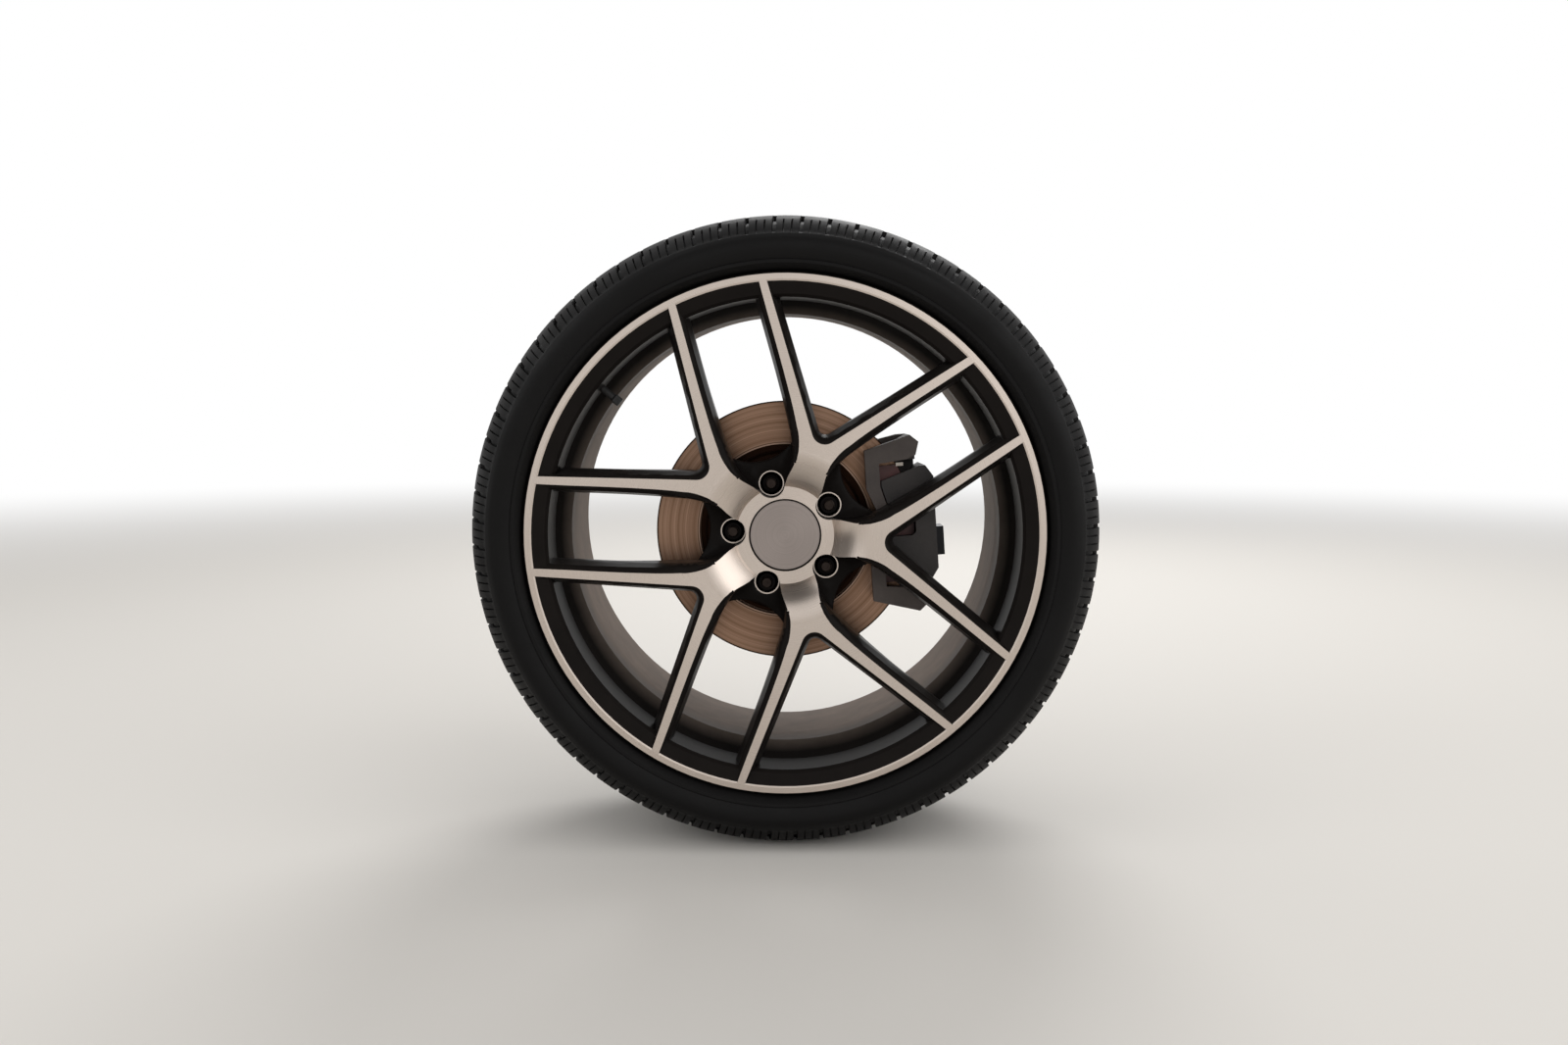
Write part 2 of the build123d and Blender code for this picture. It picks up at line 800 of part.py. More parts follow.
def guide_pin_hole(side, start, end):
    """The hole for a guide pin, through bracket plate or caliper ear."""
    radius = guide_pin_radius + pin_clearance
    return pin(guide_pin_reach, side * guide_pin_side, radius, start - cut_margin, end + cut_margin)


def tip_points():
    """The outer end of a bracket arm, shared by its frame, leg and plate."""
    return [(bracket_tip_reach - inwards, arm_outer_side + out) for inwards, out in bracket_tip]


def bracket_frame():
    """The bracket's outer frame: a bowed bar with an arm at each end."""
    bow_inner = bar_reach + bar_bow
    bow_outer = bar_outer_reach + bar_bow * bar_bow_outer_share
    inner_corner = (
        bracket_tip_reach - bracket_tip_inner_drop, bracket_arm_side + bracket_tip_inner_step
    )
    return both_sides([
        (bow_inner, 0.0),
        (bow_inner, bar_flat_half_width),
        (bar_reach, bar_bow_half_width),
        (bar_reach, arm_outer_side),
        *tip_points(),
        inner_corner,
        (bar_outer_reach, bracket_arm_side),
        (bar_outer_reach, bar_bow_outer_half_width),
        (bow_outer, bar_flat_outer_half_width),
        (bow_outer, 0.0),
    ])


def make_bracket():
    """Caliper bracket: the outer frame, two legs over the disc's edge and two inner plates."""
    tip = tip_points()
    leg_foot = bracket_tip_reach - bracket_leg_drop
    leg = [
        (leg_foot, bracket_arm_side + bracket_leg_inset),
        (leg_foot, arm_outer_side + bracket_leg_spread),
        *tip,
    ]
    boss_foot = mount_bolt_reach - arm_boss_radius
    boss_inner = mount_bolt_side - arm_boss_radius
    plate = [
        (boss_foot, boss_inner),
        (boss_foot, mount_bolt_side + arm_boss_radius - bracket_plate_bevel),
        (leg_foot, tip[0][1]),
        *tip[:2],
        (bracket_tip_reach, boss_inner),
    ]
    shape = prism(bracket_frame(), bar_start_depth, bar_start_depth + bar_thickness)
    for side in (-1, 1):
        shape += prism(one_side(leg, side), bar_start_depth, bracket_back_depth)
        shape += prism(one_side(plate, side), bracket_front_depth, bracket_back_depth)
    for side in (-1, 1):
        shape -= mount_bolt_hole(side, bracket_front_depth, bracket_back_depth)
        shape -= guide_pin_hole(side, bracket_front_depth, bracket_back_depth)
    return caliper_place(shape)


def finger_outline():
    """The housing's outer side: two fingers that reach in beside the bracket's bowed bar."""
    foot = bar_outer_reach + finger_clearance
    bow_foot = foot + bar_bow * bar_bow_outer_share
    slot = finger_slot_half_width
    side = bridge_half_width + bridge_side_bulge
    return both_sides([
        (finger_slot_end, 0.0),
        (finger_slot_end, slot - finger_slot_bevel),
        (finger_slot_end - finger_slot_bevel, slot),
        (bow_foot, slot),
        (bow_foot, bar_flat_outer_half_width),
        (foot, bar_bow_outer_half_width),
        (foot, finger_inner_half_width),
        (foot + finger_side_reach, bridge_half_width - finger_side_step),
        (bridge_outer_reach - finger_outer_step, side),
        (bridge_outer_reach - bridge_bevel, side),
        (bridge_outer_reach, bridge_half_width - bridge_bevel),
        (bridge_outer_reach, 0.0),
    ])


def bridge_outline():
    """The bridge's section square to the axle, from just off the disc's edge outwards."""
    return both_sides([
        (bridge_inner_reach, 0.0),
        (bridge_inner_reach, bridge_half_width),
        (bridge_outer_reach - bridge_bevel, bridge_half_width + bridge_side_bulge),
        (bridge_outer_reach, bridge_half_width - bridge_bevel),
        (bridge_outer_reach, 0.0),
    ])


def make_housing():
    """Sliding caliper: piston housing, windowed bridge over the disc and two outer fingers."""
    body_end = body_start_depth + piston_housing_depth
    block_end = body_start_depth + housing_block_depth
    finger_start = finger_end_depth - finger_thickness
    half = housing_block_half_width
    shape = prism(finger_outline(), finger_start, finger_end_depth)
    shape += prism(bridge_outline(), finger_start, block_end)
    shape -= block(
        (bridge_inner_reach - cut_margin, bridge_outer_reach + cut_margin),
        (-bridge_window_half_width, bridge_window_half_width),
        (disc_outer_depth, disc_inner_depth),
    )
    shape += block((piston_reach, bridge_outer_reach), (-half, half), (body_start_depth, block_end))
    cylinder = turned([
        (0.0, body_start_depth),
        (piston_radius, body_start_depth),
        (piston_radius, body_end - piston_housing_edge),
        (piston_radius - piston_housing_edge, body_end),
        (0.0, body_end),
    ])
    shape += Pos(piston_reach, 0, 0) * cylinder
    ear_end = ear_start_depth + guide_ear_thickness
    reach = (guide_pin_reach - guide_ear_half_height, guide_pin_reach + guide_ear_half_height)
    ear_root = half - guide_ear_overlap
    ear_tip = guide_pin_side + guide_ear_half_height
    for side in (-1, 1):
        sides = sorted((side * ear_root, side * ear_tip))
        shape += block(reach, sides, (ear_start_depth, ear_end))
        shape -= guide_pin_hole(side, ear_start_depth, ear_end)
    return caliper_place(shape)


def make_union():
    """Brake line union block on the bridge's outer side, with its threaded port."""
    reach = bridge_outer_reach
    sides = (union_side - union_half_width, union_side + union_half_width)
    start = disc_inner_depth
    end = start + 2 * union_half_width
    shape = block((reach, reach + union_size), sides, (start, end))
    port_reach = reach + union_size / 2
    shape -= pin(port_reach, union_side, port_radius, end - port_length, end + cut_margin)
    return caliper_place(shape)


def make_pad(face_depth, direction):
    """Brake pad: lining on a steel backing plate, both cut along the disc's edge."""
    lining_face = face_depth + direction * pad_gap
    joint = lining_face + direction * lining_thickness
    back = joint + direction * backing_thickness
    edge = Circle(disc_radius - pad_edge_inset)
    height = disc_radius - pad_inner_reach
    layers = [(lining_half_width, lining_face, joint), (pad_half_width, joint, back)]
    lining, backing = [
        prism(edge & (Pos(piston_reach, 0) * Rectangle(height, 2 * half)), *sorted((start, end)))
        for half, start, end in layers
    ]
    return caliper_place(lining + backing)


def make_guide_pin(side):
    """Guide pin from the bracket through the housing's ear, with its hexagon head."""
    ear_end = ear_start_depth + guide_ear_thickness
    shaft = tube(0.0, guide_pin_radius, bracket_front_depth, ear_end)
    hexagon = RegularPolygon(guide_head_across_flats / 2, 6, major_radius=False)
    head = prism(hexagon, ear_end, ear_end + pin_head_height)
    return caliper_place(Pos(guide_pin_reach, 0, side * guide_pin_side) * (shaft + head))


def make_mount_bolt(side):
    """Bolt through the carrier's arm into the bracket."""
    arm_end = bracket_back_depth + arm_thickness
    shaft = tube(0.0, mount_bolt_radius, bracket_front_depth, arm_end)
    hexagon = RegularPolygon(mount_head_across_flats / 2, 6, major_radius=False)
    head = prism(hexagon, arm_end, arm_end + pin_head_height)
    return caliper_place(Pos(mount_bolt_reach, 0, side * mount_bolt_side) * (shaft + head))


def pulley_outline():
    """The pulley's toothed rim, with a straight-sided gap between each two teeth."""
    outer = Circle(pulley_pitch_radius)
    mouth = belt_pitch * tooth_gap_share
    root = belt_pitch * tooth_root_share
    outside = pulley_pitch_radius + cut_margin
    inside = pulley_pitch_radius - tooth_gap_depth
    gap = Polygon(
        (outside, mouth), (outside, -mouth), (inside, -root), (inside, root), align=None
    )
    step = 360.0 / pulley_teeth
    return outer - [Rot(0, 0, step * i) * gap for i in range(pulley_teeth)]


def make_pulley():
    """Toothed belt pulley with a thin web, six round openings and a hub boss."""
    start = pulley_start_depth
    end = pulley_end_depth
    rim_inner = pulley_pitch_radius - tooth_height - pulley_rim_wall
    bore = pulley_seat_radius + pulley_fit
    web_start = (start + end - pulley_web_thickness) / 2
    rim = prism(pulley_outline(), start, end)
    rim -= tube(0.0, rim_inner, start - cut_margin, end + cut_margin)
    web = tube(bore, rim_inner + cut_margin, web_start, web_start + pulley_web_thickness)
    boss = tube(bore, pulley_hub_radius, start, end)
    window_radius = (rim_inner - pulley_hub_radius) * pulley_window_share
    window = tube(0.0, window_radius, start, end)
    window_place = Pos((rim_inner + pulley_hub_radius) / 2, 0, 0)
    return rim + web + boss - around(pulley_window_count, window_place * window)


def make_axle_nut():
    """Large axle nut over its washer."""
    start = pulley_end_depth + axle_washer_thickness
    end = start + axle_nut_height
    hexagon = RegularPolygon(axle_nut_across_flats / 2, 6, major_radius=False)
    bore = tube(0.0, pulley_seat_radius + pulley_fit, start - cut_margin, end + cut_margin)
    return prism(hexagon, start, end) - bore


def make_washer():
    """Plain washer between pulley and axle nut."""
    outer = axle_nut_across_flats / 2 + axle_washer_margin
    end = pulley_end_depth + axle_washer_thickness
    return tube(pulley_seat_radius + pulley_fit, outer, pulley_end_depth, end)


def make_valve():
    """Valve stem through the barrel wall."""
    length = valve_reach + rim_wall
    stem = Pos(0, 0, rim_wall / 2 - length / 2) * Cylinder(valve_stem_radius - valve_fit, length)
    return valve_place() * stem


def make_valve_cap():
    """Cap on the valve stem's end, towards the axle."""
    top = -rim_wall / 2 - valve_reach
    cap = Pos(0, 0, top - valve_cap_length / 2) * Cylinder(valve_cap_radius, valve_cap_length)
    return valve_place() * cap


pieces = {
    "tyre": make_tyre(),
    "wheel_barrel": make_barrel(),
    "wheel_face": make_wheel_face(),
    "centre_cap": make_cap(),
    "valve_stem": make_valve(),
    "valve_cap": make_valve_cap(),
    "hub": make_hub(),
    "brake_disc": make_disc(),
    "belt_pulley": make_pulley(),
    "axle_washer": make_washer(),
    "axle_nut": make_axle_nut(),
    "hub_carrier": make_carrier(),
    "bearing_outer": make_bearing(carrier_front_depth),
    "bearing_inner": make_bearing(spigot_end_depth - bearing_width),
    "caliper_bracket": make_bracket(),
    "caliper_housing": make_housing(),
    "line_union": make_union(),
    "brake_pad_outer": make_pad(disc_outer_depth, -1),
    "brake_pad_inner": make_pad(disc_inner_depth, 1),
    "guide_pin_upper": make_guide_pin(1),
    "guide_pin_lower": make_guide_pin(-1),
    "bracket_bolt_upper": make_mount_bolt(1),
    "bracket_bolt_lower": make_mount_bolt(-1),
}
for i in range(spoke_count):
    angle = pocket_angle + 360.0 * i / spoke_count
    pieces[f"wheel_stud_{i + 1}"] = turn(angle, make_stud())
    pieces[f"wheel_nut_{i + 1}"] = turn(angle, make_nut())

os.makedirs("parts", exist_ok=True)
for name, shape in pieces.items():
    export_step(Pos(0, -mount_depth, 0) * shape, f"parts/{name}.step")
    print(name, round(shape.volume / 1000.0, 1), "cm3")
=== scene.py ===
# %% [markdown]
# # Rear wheel of a motorized trike
#
# A wide, low tyre sits on a twin-spoke alloy wheel. Its face is turned bright on a lathe and its
# pockets and barrel are painted black. Behind the spokes stand the vented brake disc, the
# caliper, the hub in its carrier and the toothed pulley that drives the wheel.
#
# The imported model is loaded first. It gives every solid at its real size and place, so this
# script only adds what the solids leave plain: the tyre's whole tread, a finer front on the
# wheel's face, small trim, and the finishes.

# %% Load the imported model
import math

import bmesh
import bpy
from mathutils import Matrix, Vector


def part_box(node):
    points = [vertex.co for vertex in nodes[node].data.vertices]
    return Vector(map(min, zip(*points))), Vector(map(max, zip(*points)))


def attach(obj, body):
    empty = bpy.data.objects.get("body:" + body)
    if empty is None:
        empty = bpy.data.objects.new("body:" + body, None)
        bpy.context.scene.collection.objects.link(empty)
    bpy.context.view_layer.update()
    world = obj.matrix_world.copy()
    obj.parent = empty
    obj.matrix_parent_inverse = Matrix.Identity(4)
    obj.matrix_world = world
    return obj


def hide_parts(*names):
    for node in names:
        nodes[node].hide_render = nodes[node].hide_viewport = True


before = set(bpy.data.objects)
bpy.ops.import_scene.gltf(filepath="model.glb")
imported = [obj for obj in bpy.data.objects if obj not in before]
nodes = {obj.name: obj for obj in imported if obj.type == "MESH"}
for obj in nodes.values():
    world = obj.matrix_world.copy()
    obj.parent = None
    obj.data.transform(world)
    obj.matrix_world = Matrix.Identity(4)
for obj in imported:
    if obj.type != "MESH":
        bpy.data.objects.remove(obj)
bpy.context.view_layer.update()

# %% [markdown]
# Sizes below are written in millimetres, as on a drawing, and turned to metres where they are
# used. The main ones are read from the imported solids, so that the dressing follows them.

# %% Sizes read from the solids
MM = 0.001


def box_of(node):
    """A node's lowest and highest corners in millimetres."""
    low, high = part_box(node)
    return low / MM, high / MM


tyre_low, tyre_high = box_of("tyre")
tyre_radius = (tyre_high.z - tyre_low.z) / 2
tyre_middle = (tyre_high.y + tyre_low.y) / 2
tyre_half_width = (tyre_high.y - tyre_low.y) / 2
barrel_low, barrel_high = box_of("wheel_barrel")
rim_radius = (barrel_high.z - barrel_low.z) / 2
ring_face = barrel_low.y
floor_level = tyre_low.z
print("tyre radius", round(tyre_radius, 1), "width", round(2 * tyre_half_width, 1))
print("rim radius", round(rim_radius, 1), "ring face", round(ring_face, 1))

# %% [markdown]
# ## Helpers for every finish
#
# Colours are picked as the hex values that a screen shows. A render works with linear light, so
# one function converts them. Another adds one shader node with its settings and links: a value
# that is a socket is linked, and any other value is written into the input.

# %% Colour and node helpers


def linear(hex_colour):
    """A screen colour such as #c0ffee as linear red, green, blue and alpha."""
    channels = [int(hex_colour[i:i + 2], 16) / 255 for i in (1, 3, 5)]
    return [c / 12.92 if c <= 0.04045 else ((c + 0.055) / 1.055) ** 2.4 for c in channels] + [1.0]


def add(tree, kind, inputs=None, **settings):
    """Adds one node, writes its settings, then links or writes its inputs."""
    node = tree.nodes.new(kind)
    for name, value in settings.items():
        setattr(node, name, value)
    for key, value in (inputs or {}).items():
        if isinstance(value, bpy.types.NodeSocket):
            tree.links.new(value, node.inputs[key])
        else:
            node.inputs[key].default_value = value
    return node


# %% Material and object helpers


def new_material(name):
    """An empty node material and its node tree."""
    material = bpy.data.materials.new(name)
    material.use_nodes = True
    material.node_tree.nodes.clear()
    return material, material.node_tree


def link_object(name, data):
    """A new object in the scene with its mesh, lamp or camera data."""
    thing = bpy.data.objects.new(name, data)
    bpy.context.scene.collection.objects.link(thing)
    return thing


def give(material, *names):
    """Puts one finish on whole CAD nodes."""
    for name in names:
        data = nodes[name].data
        data.materials.clear()
        data.materials.append(material)
        for face in data.polygons:
            face.material_index = 0


# %% [markdown]
# ## Machined aluminium and satin black paint
#
# The casting is painted black all over. Then a lathe cuts its front to bare metal: the rim's
# ring, the spokes and the hub in one turned sweep. The pockets and windows, cut into the front
# beforehand, stay black. The lathe leaves fine circular lines. They spread each highlight
# outwards from the axle, so the shader is anisotropic, with its tangent in that direction.
#
# The lines could be modelled or painted on. A bump with this shader needs no extra faces, and
# its highlights move with the light as on the real metal. Real lines lie about 0.2 mm apart. That
# is too fine to show here, so they are drawn 0.6 mm apart.

# %% Shared pattern parts


def axle_coordinates(tree):
    """Object position, then distance from the axle and depth behind the ring in millimetres."""
    place = add(tree, "ShaderNodeTexCoord")
    flat = add(tree, "ShaderNodeVectorMath", {0: place.outputs["Object"], 1: (1, 0, 1)},
               operation="MULTIPLY")
    length = add(tree, "ShaderNodeVectorMath", {0: flat.outputs[0]}, operation="LENGTH")
    radius = add(tree, "ShaderNodeMath", {0: length.outputs["Value"], 1: 1 / MM},
                 operation="MULTIPLY")
    along = add(tree, "ShaderNodeSeparateXYZ", {0: place.outputs["Object"]})
    depth = add(tree, "ShaderNodeMath", {0: along.outputs["Y"], 1: 1 / MM, 2: -ring_face},
                operation="MULTIPLY_ADD")
    return place, radius.outputs[0], depth.outputs[0]


def is_between(tree, value, low, high):
    """1 where the value lies between two limits, else 0."""
    above = add(tree, "ShaderNodeMath", {0: value, 1: low}, operation="GREATER_THAN")
    below = add(tree, "ShaderNodeMath", {0: value, 1: high}, operation="LESS_THAN")
    return add(tree, "ShaderNodeMath", {0: above.outputs[0], 1: below.outputs[0]},
               operation="MULTIPLY").outputs[0]


def outward_tangent(tree, place):
    """The direction away from the axle. A lathe's lines spread a highlight along it."""
    flat = add(tree, "ShaderNodeVectorMath", {0: place.outputs["Object"], 1: (1, 0, 1)},
               operation="MULTIPLY")
    return add(tree, "ShaderNodeVectorTransform", {0: flat.outputs[0]}, vector_type="VECTOR",
               convert_from="OBJECT", convert_to="WORLD").outputs[0]


def circular_lines(tree, radius, pitch_mm):
    """Fine lines round the axle: a height that changes only with the distance from it."""
    rings = add(tree, "ShaderNodeMath", {0: radius, 1: 1 / pitch_mm}, operation="MULTIPLY")
    return add(tree, "ShaderNodeTexNoise", {"W": rings.outputs[0], "Scale": 1.0, "Detail": 2.0},
               noise_dimensions="1D").outputs[0]


# %% Bare metal and paint
# pitch or patch size and bump depth in mm
turning_pitch = 0.6
turning_depth = 0.02
paint_peel = 3.0
peel_depth = 0.4
dust_and_painted_light_patch = 38.0
# depths behind the ring in mm, between which the brake dust and the painted sunlight on the deep
# barrel set in
dust_and_painted_light_start = 62.0
dust_and_painted_light_full = 120.0


def bare_metal(tree):
    """Turned aluminium: fine circular lines on a satin metal."""
    place, radius, _ = axle_coordinates(tree)
    line = circular_lines(tree, radius, turning_pitch)
    rough = add(tree, "ShaderNodeMapRange", {0: line, 3: 0.25, 4: 0.32})
    bump = add(tree, "ShaderNodeBump", {
        "Strength": 0.12, "Distance": turning_depth * MM, "Height": line,
    })
    return add(tree, "ShaderNodeBsdfPrincipled", {
        "Base Color": linear("#c6bab0"), "Metallic": 1.0, "Roughness": rough.outputs[0],
        "Anisotropic": 0.7, "Tangent": outward_tangent(tree, place), "Normal": bump.outputs[0],
    })


def black_paint(tree):
    """Satin black paint with a slight peel, and brake dust with painted sunlight where the barrel
    lies deep.
    """
    place, _, depth = axle_coordinates(tree)
    peel = add(tree, "ShaderNodeTexNoise", {
        "Vector": place.outputs["Object"], "Scale": 1 / (paint_peel * MM), "Detail": 2.0,
    })
    dust_and_light_noise = add(tree, "ShaderNodeTexNoise", {
        "Vector": place.outputs["Object"], "Scale": 1 / (dust_and_painted_light_patch * MM), "Detail": 5.0,
        "Roughness": 0.65,
    })
    patches = add(tree, "ShaderNodeMapRange", {0: dust_and_light_noise.outputs[0], 1: 0.3, 2: 0.7, 3: 0.6, 4: 0.85})
    inboard = add(tree, "ShaderNodeMapRange", {
        0: depth, 1: dust_and_painted_light_start, 2: dust_and_painted_light_full, 3: 0.03, 4: 0.95,
    })
    lighter_tone_share = add(tree, "ShaderNodeMath", {0: patches.outputs[0], 1: inboard.outputs[0]},
                operation="MULTIPLY").outputs[0]
    # The pale tone is partly brake dust and partly painted light: the deep barrel is painted a
    # light warm grey, as if sunlight fell on it from behind.
    tone = add(tree, "ShaderNodeMix", {
        "Factor": lighter_tone_share, 6: linear("#070708"), 7: linear("#a19185"),
    }, data_type="RGBA")
    rough = add(tree, "ShaderNodeMapRange", {0: lighter_tone_share, 3: 0.3, 4: 0.6})
    bump = add(tree, "ShaderNodeBump", {
        "Strength": 0.08, "Distance": peel_depth * MM, "Height": peel.outputs[0],
    })
    return add(tree, "ShaderNodeBsdfPrincipled", {
        "Base Color": tone.outputs[2], "Roughness": rough.outputs[0], "IOR": 1.5,
        "Specular IOR Level": 0.03, "Normal": bump.outputs[0],
    })


def whole_finish(name, shader):
    """A material whose whole surface has one shader."""
    material, tree = new_material(name)
    add(tree, "ShaderNodeOutputMaterial", {"Surface": shader(tree).outputs[0]})
    return material


# %% Barrel finish
# slopes and depths behind the ring in mm, between which the barrel's surface is its turned ring
ring_slopes = (-1.1, -0.9)
ring_depths = (-1.0, 0.4)


def barrel_finish():
    """Black paint, with bare metal on the rim's turned ring."""
    material, tree = new_material("satin_black_barrel_with_machined_ring")
    place, _, depth = axle_coordinates(tree)
    toward = add(tree, "ShaderNodeSeparateXYZ", {0: place.outputs["Normal"]}).outputs["Y"]
    ring = add(tree, "ShaderNodeMath", {
        0: is_between(tree, toward, *ring_slopes), 1: is_between(tree, depth, *ring_depths),
    }, operation="MULTIPLY")
    mixed = add(tree, "ShaderNodeMixShader", {
        0: ring.outputs[0], 1: black_paint(tree).outputs[0], 2: bare_metal(tree).outputs[0],
    })
    add(tree, "ShaderNodeOutputMaterial", {"Surface": mixed.outputs[0]})
    return material


give(barrel_finish(), "wheel_barrel")
print("barrel finished")

# %% [markdown]
# ## Wheel face
#
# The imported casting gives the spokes, pockets and windows. On the real one the spokes narrow
# only a little towards the ring, and run down to the hub's flat ring over a rounded crest.
#
# The face could be built afresh, but the casting's own mesh is within a few millimetres of it.
# So this piece starts from that mesh, is cut finer, and has its points eased to the real shape:
# in depth on the hub's crest, and sideways along the spokes' pocket sides. Its turned faces are
# marked first, as those whose corners all lie on the front's turned outline.

# %% The turned front's outlines
# distances from the axle and depths behind the ring in mm
ring_inner = 265.7
hub_flat_end = 52.0
hub_depth = 28.0
hollow_end = 79.0
front_depth_end = 6.0
hollow_middle = (69.82, 22.28)
crest_end = 92.0
crest_power = 2.2


def distance_of(point):
    """A point's distance from the axle in mm."""
    return math.hypot(point.x, point.z) / MM


def depth_of(point):
    """A point's depth behind the ring in mm."""
    return point.y / MM - ring_face


def circle_through(first, second, third):
    """Centre and radius of the circle through three points."""
    (ax, ay), (bx, by), (cx, cy) = first, second, third
    scale = 2 * (ax * (by - cy) + bx * (cy - ay) + cx * (ay - by))
    a, b, c = ax * ax + ay * ay, bx * bx + by * by, cx * cx + cy * cy
    x = (a * (by - cy) + b * (cy - ay) + c * (ay - by)) / scale
    y = (a * (cx - bx) + b * (ax - cx) + c * (bx - ax)) / scale
    return x, y, math.hypot(ax - x, ay - y)


hollow = circle_through((hub_flat_end, hub_depth), hollow_middle, (hollow_end, front_depth_end))


def cone_depth(radius):
    """Depth of the spokes' shallow cone at a distance from the axle."""
    return front_depth_end * (ring_inner - radius) / (ring_inner - hollow_end)


def packed_depth(radius):
    """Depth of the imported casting's front."""
    if radius >= hollow_end:
        return cone_depth(radius)
    if radius > hub_flat_end:
        return hollow[1] + math.sqrt(hollow[2] ** 2 - (radius - hollow[0]) ** 2)
    return hub_depth


def crest_depth(radius):
    """Depth of the dressed front: steep beside the hub's flat ring, then easing to the cone."""
    if radius >= crest_end:
        return cone_depth(radius)
    if radius > hub_flat_end:
        share = (radius - hub_flat_end) / (crest_end - hub_flat_end)
        rise = 1 - (1 - share) ** crest_power
        return hub_depth + (cone_depth(crest_end) - hub_depth) * rise
    return hub_depth


print("depth at 60, 70, 79 mm: packed", [round(packed_depth(r), 1) for r in (60, 70, 79)],
      "dressed", [round(crest_depth(r), 1) for r in (60, 70, 79)])

# %% Moving the casting's points
pocket_floor = 46.0
first_pocket = math.radians(38.6)
pocket_step = math.radians(72)
# distances from a pocket's middle line in mm, between which the blade's pocket side lies
pocket_side_start = 25.0
blade_middle = 49.6
# distance from the axle in mm, how far the pocket's side moves away from the pocket's middle
side_shift = [
    (98.0, 0.0), (112.0, 0.8), (140.0, 1.0), (170.0, 0.4), (200.0, -0.7), (230.0, -2.0),
    (262.0, -3.1),
]
# the same near a lug pocket's narrow end, for a smooth outline of the turned front:
# distance from the axle, from the pocket's middle to the front's edge, the move
pocket_mouth = [
    (55.0, 15.8, 0.0), (60.9, 18.6, -0.5), (67.9, 22.6, 0.7), (72.6, 25.3, 1.6),
    (77.4, 28.4, 1.8), (79.3, 32.5, -1.6), (84.1, 36.0, -2.0), (88.5, 37.8, -1.4),
    (93.8, 39.6, -1.3), (98.9, 41.0, -1.1), (109.0, 42.9, -0.9), (128.0, 43.5, 0.0),
]
mouth_reach = 5.0
mouth_depth = 12.0


def along_table(table, at):
    """A value read from a table of points, straight between them and level beyond its ends."""
    if at <= table[0][0]:
        return table[0][1]
    for (a, first), (b, second) in zip(table, table[1:]):
        if at <= b:
            return first + (second - first) * (at - a) / (b - a)
    return table[-1][1]


def mouth_shift(radius, across, behind):
    """The sideways move near a pocket's narrow end, fading sideways and behind the front."""
    if not pocket_mouth[0][0] < radius < pocket_mouth[-1][0]:
        return 0.0
    edge = along_table([(at, half) for at, half, _ in pocket_mouth], radius)
    move = along_table([(at, step) for at, _, step in pocket_mouth], radius)
    near = max(0.0, 1 - abs(across - edge) / mouth_reach)
    return move * near * min(1.0, max(0.0, 1 - behind / mouth_depth))


# %% Where each point goes


def eased(point):
    """Where a point of the casting goes, in metres."""
    radius = distance_of(point)
    depth = depth_of(point)
    front = packed_depth(radius)
    behind = depth - front
    if hub_flat_end < radius < crest_end and depth < pocket_floor:
        share = min(1.0, (pocket_floor - depth) / (pocket_floor - front))
        depth += share * (crest_depth(radius) - front)
    angle = math.atan2(-point.z, point.x)
    pocket = first_pocket + pocket_step * round((angle - first_pocket) / pocket_step)
    off = angle - pocket
    across = radius * abs(math.sin(off))
    side = math.copysign(1.0, off)
    if radius > side_shift[0][0] and pocket_side_start < across < blade_middle:
        angle += side * along_table(side_shift, radius) / radius
    if radius > hub_flat_end:
        angle += side * mouth_shift(radius, across, behind) / radius
    return Vector((radius * math.cos(angle) * MM, (depth + ring_face) * MM,
                   -radius * math.sin(angle) * MM))


# %% Which faces are turned, and which edges are cut
# how far from the front's outline a turned face's corner may lie, in mm, and its least slope
on_front = 0.3
front_slope = -0.2
# depths and reach of the bevels round the lug bores, in mm, and their slopes
bevel_depths = (49.8, 51.5)
bevel_reach = 71.0
bevel_slopes = (-0.9, -0.5)
hub_edge_length = 3.5
hub_zone_end = crest_end + 4
blade_edge_length = 16.0
deepest_cut = 49.0


def is_turned(face):
    """True on the turned front and on the bevel round each lug bore."""
    depths = [depth_of(v.co) for v in face.verts]
    radii = [distance_of(v.co) for v in face.verts]
    toward = face.normal.y
    low, high = bevel_depths
    if max(radii) < bevel_reach and min(depths) > low and max(depths) < high:
        return bevel_slopes[0] < toward < bevel_slopes[1]
    return toward < front_slope and all(
        abs(d - packed_depth(r)) < on_front for d, r in zip(depths, radii)
    )


def too_long(edge):
    """True for an edge that must be cut before its ends are moved."""
    near = min(distance_of(v.co) for v in edge.verts)
    limit = hub_edge_length if near < hub_zone_end else blade_edge_length
    shallow = min(depth_of(v.co) for v in edge.verts)
    return edge.calc_length() / MM > limit and shallow < deepest_cut


# %% Exact directions of the turned front
toward_viewer = Vector((0, -1, 0))
# mm over which the outline's slope is read, and how far beyond the flat ring that starts
slope_step = 0.02
slope_start = 0.05


def front_normal(point, flat):
    """The turned front's exact direction at a point, so that highlights run smoothly."""
    if flat:
        return toward_viewer
    at = max(distance_of(point), hub_flat_end + slope_start)
    slope = (crest_depth(at + slope_step) - crest_depth(at)) / slope_step
    outward = Vector((point.x, 0, point.z)).normalized()
    return (outward * slope + toward_viewer).normalized()


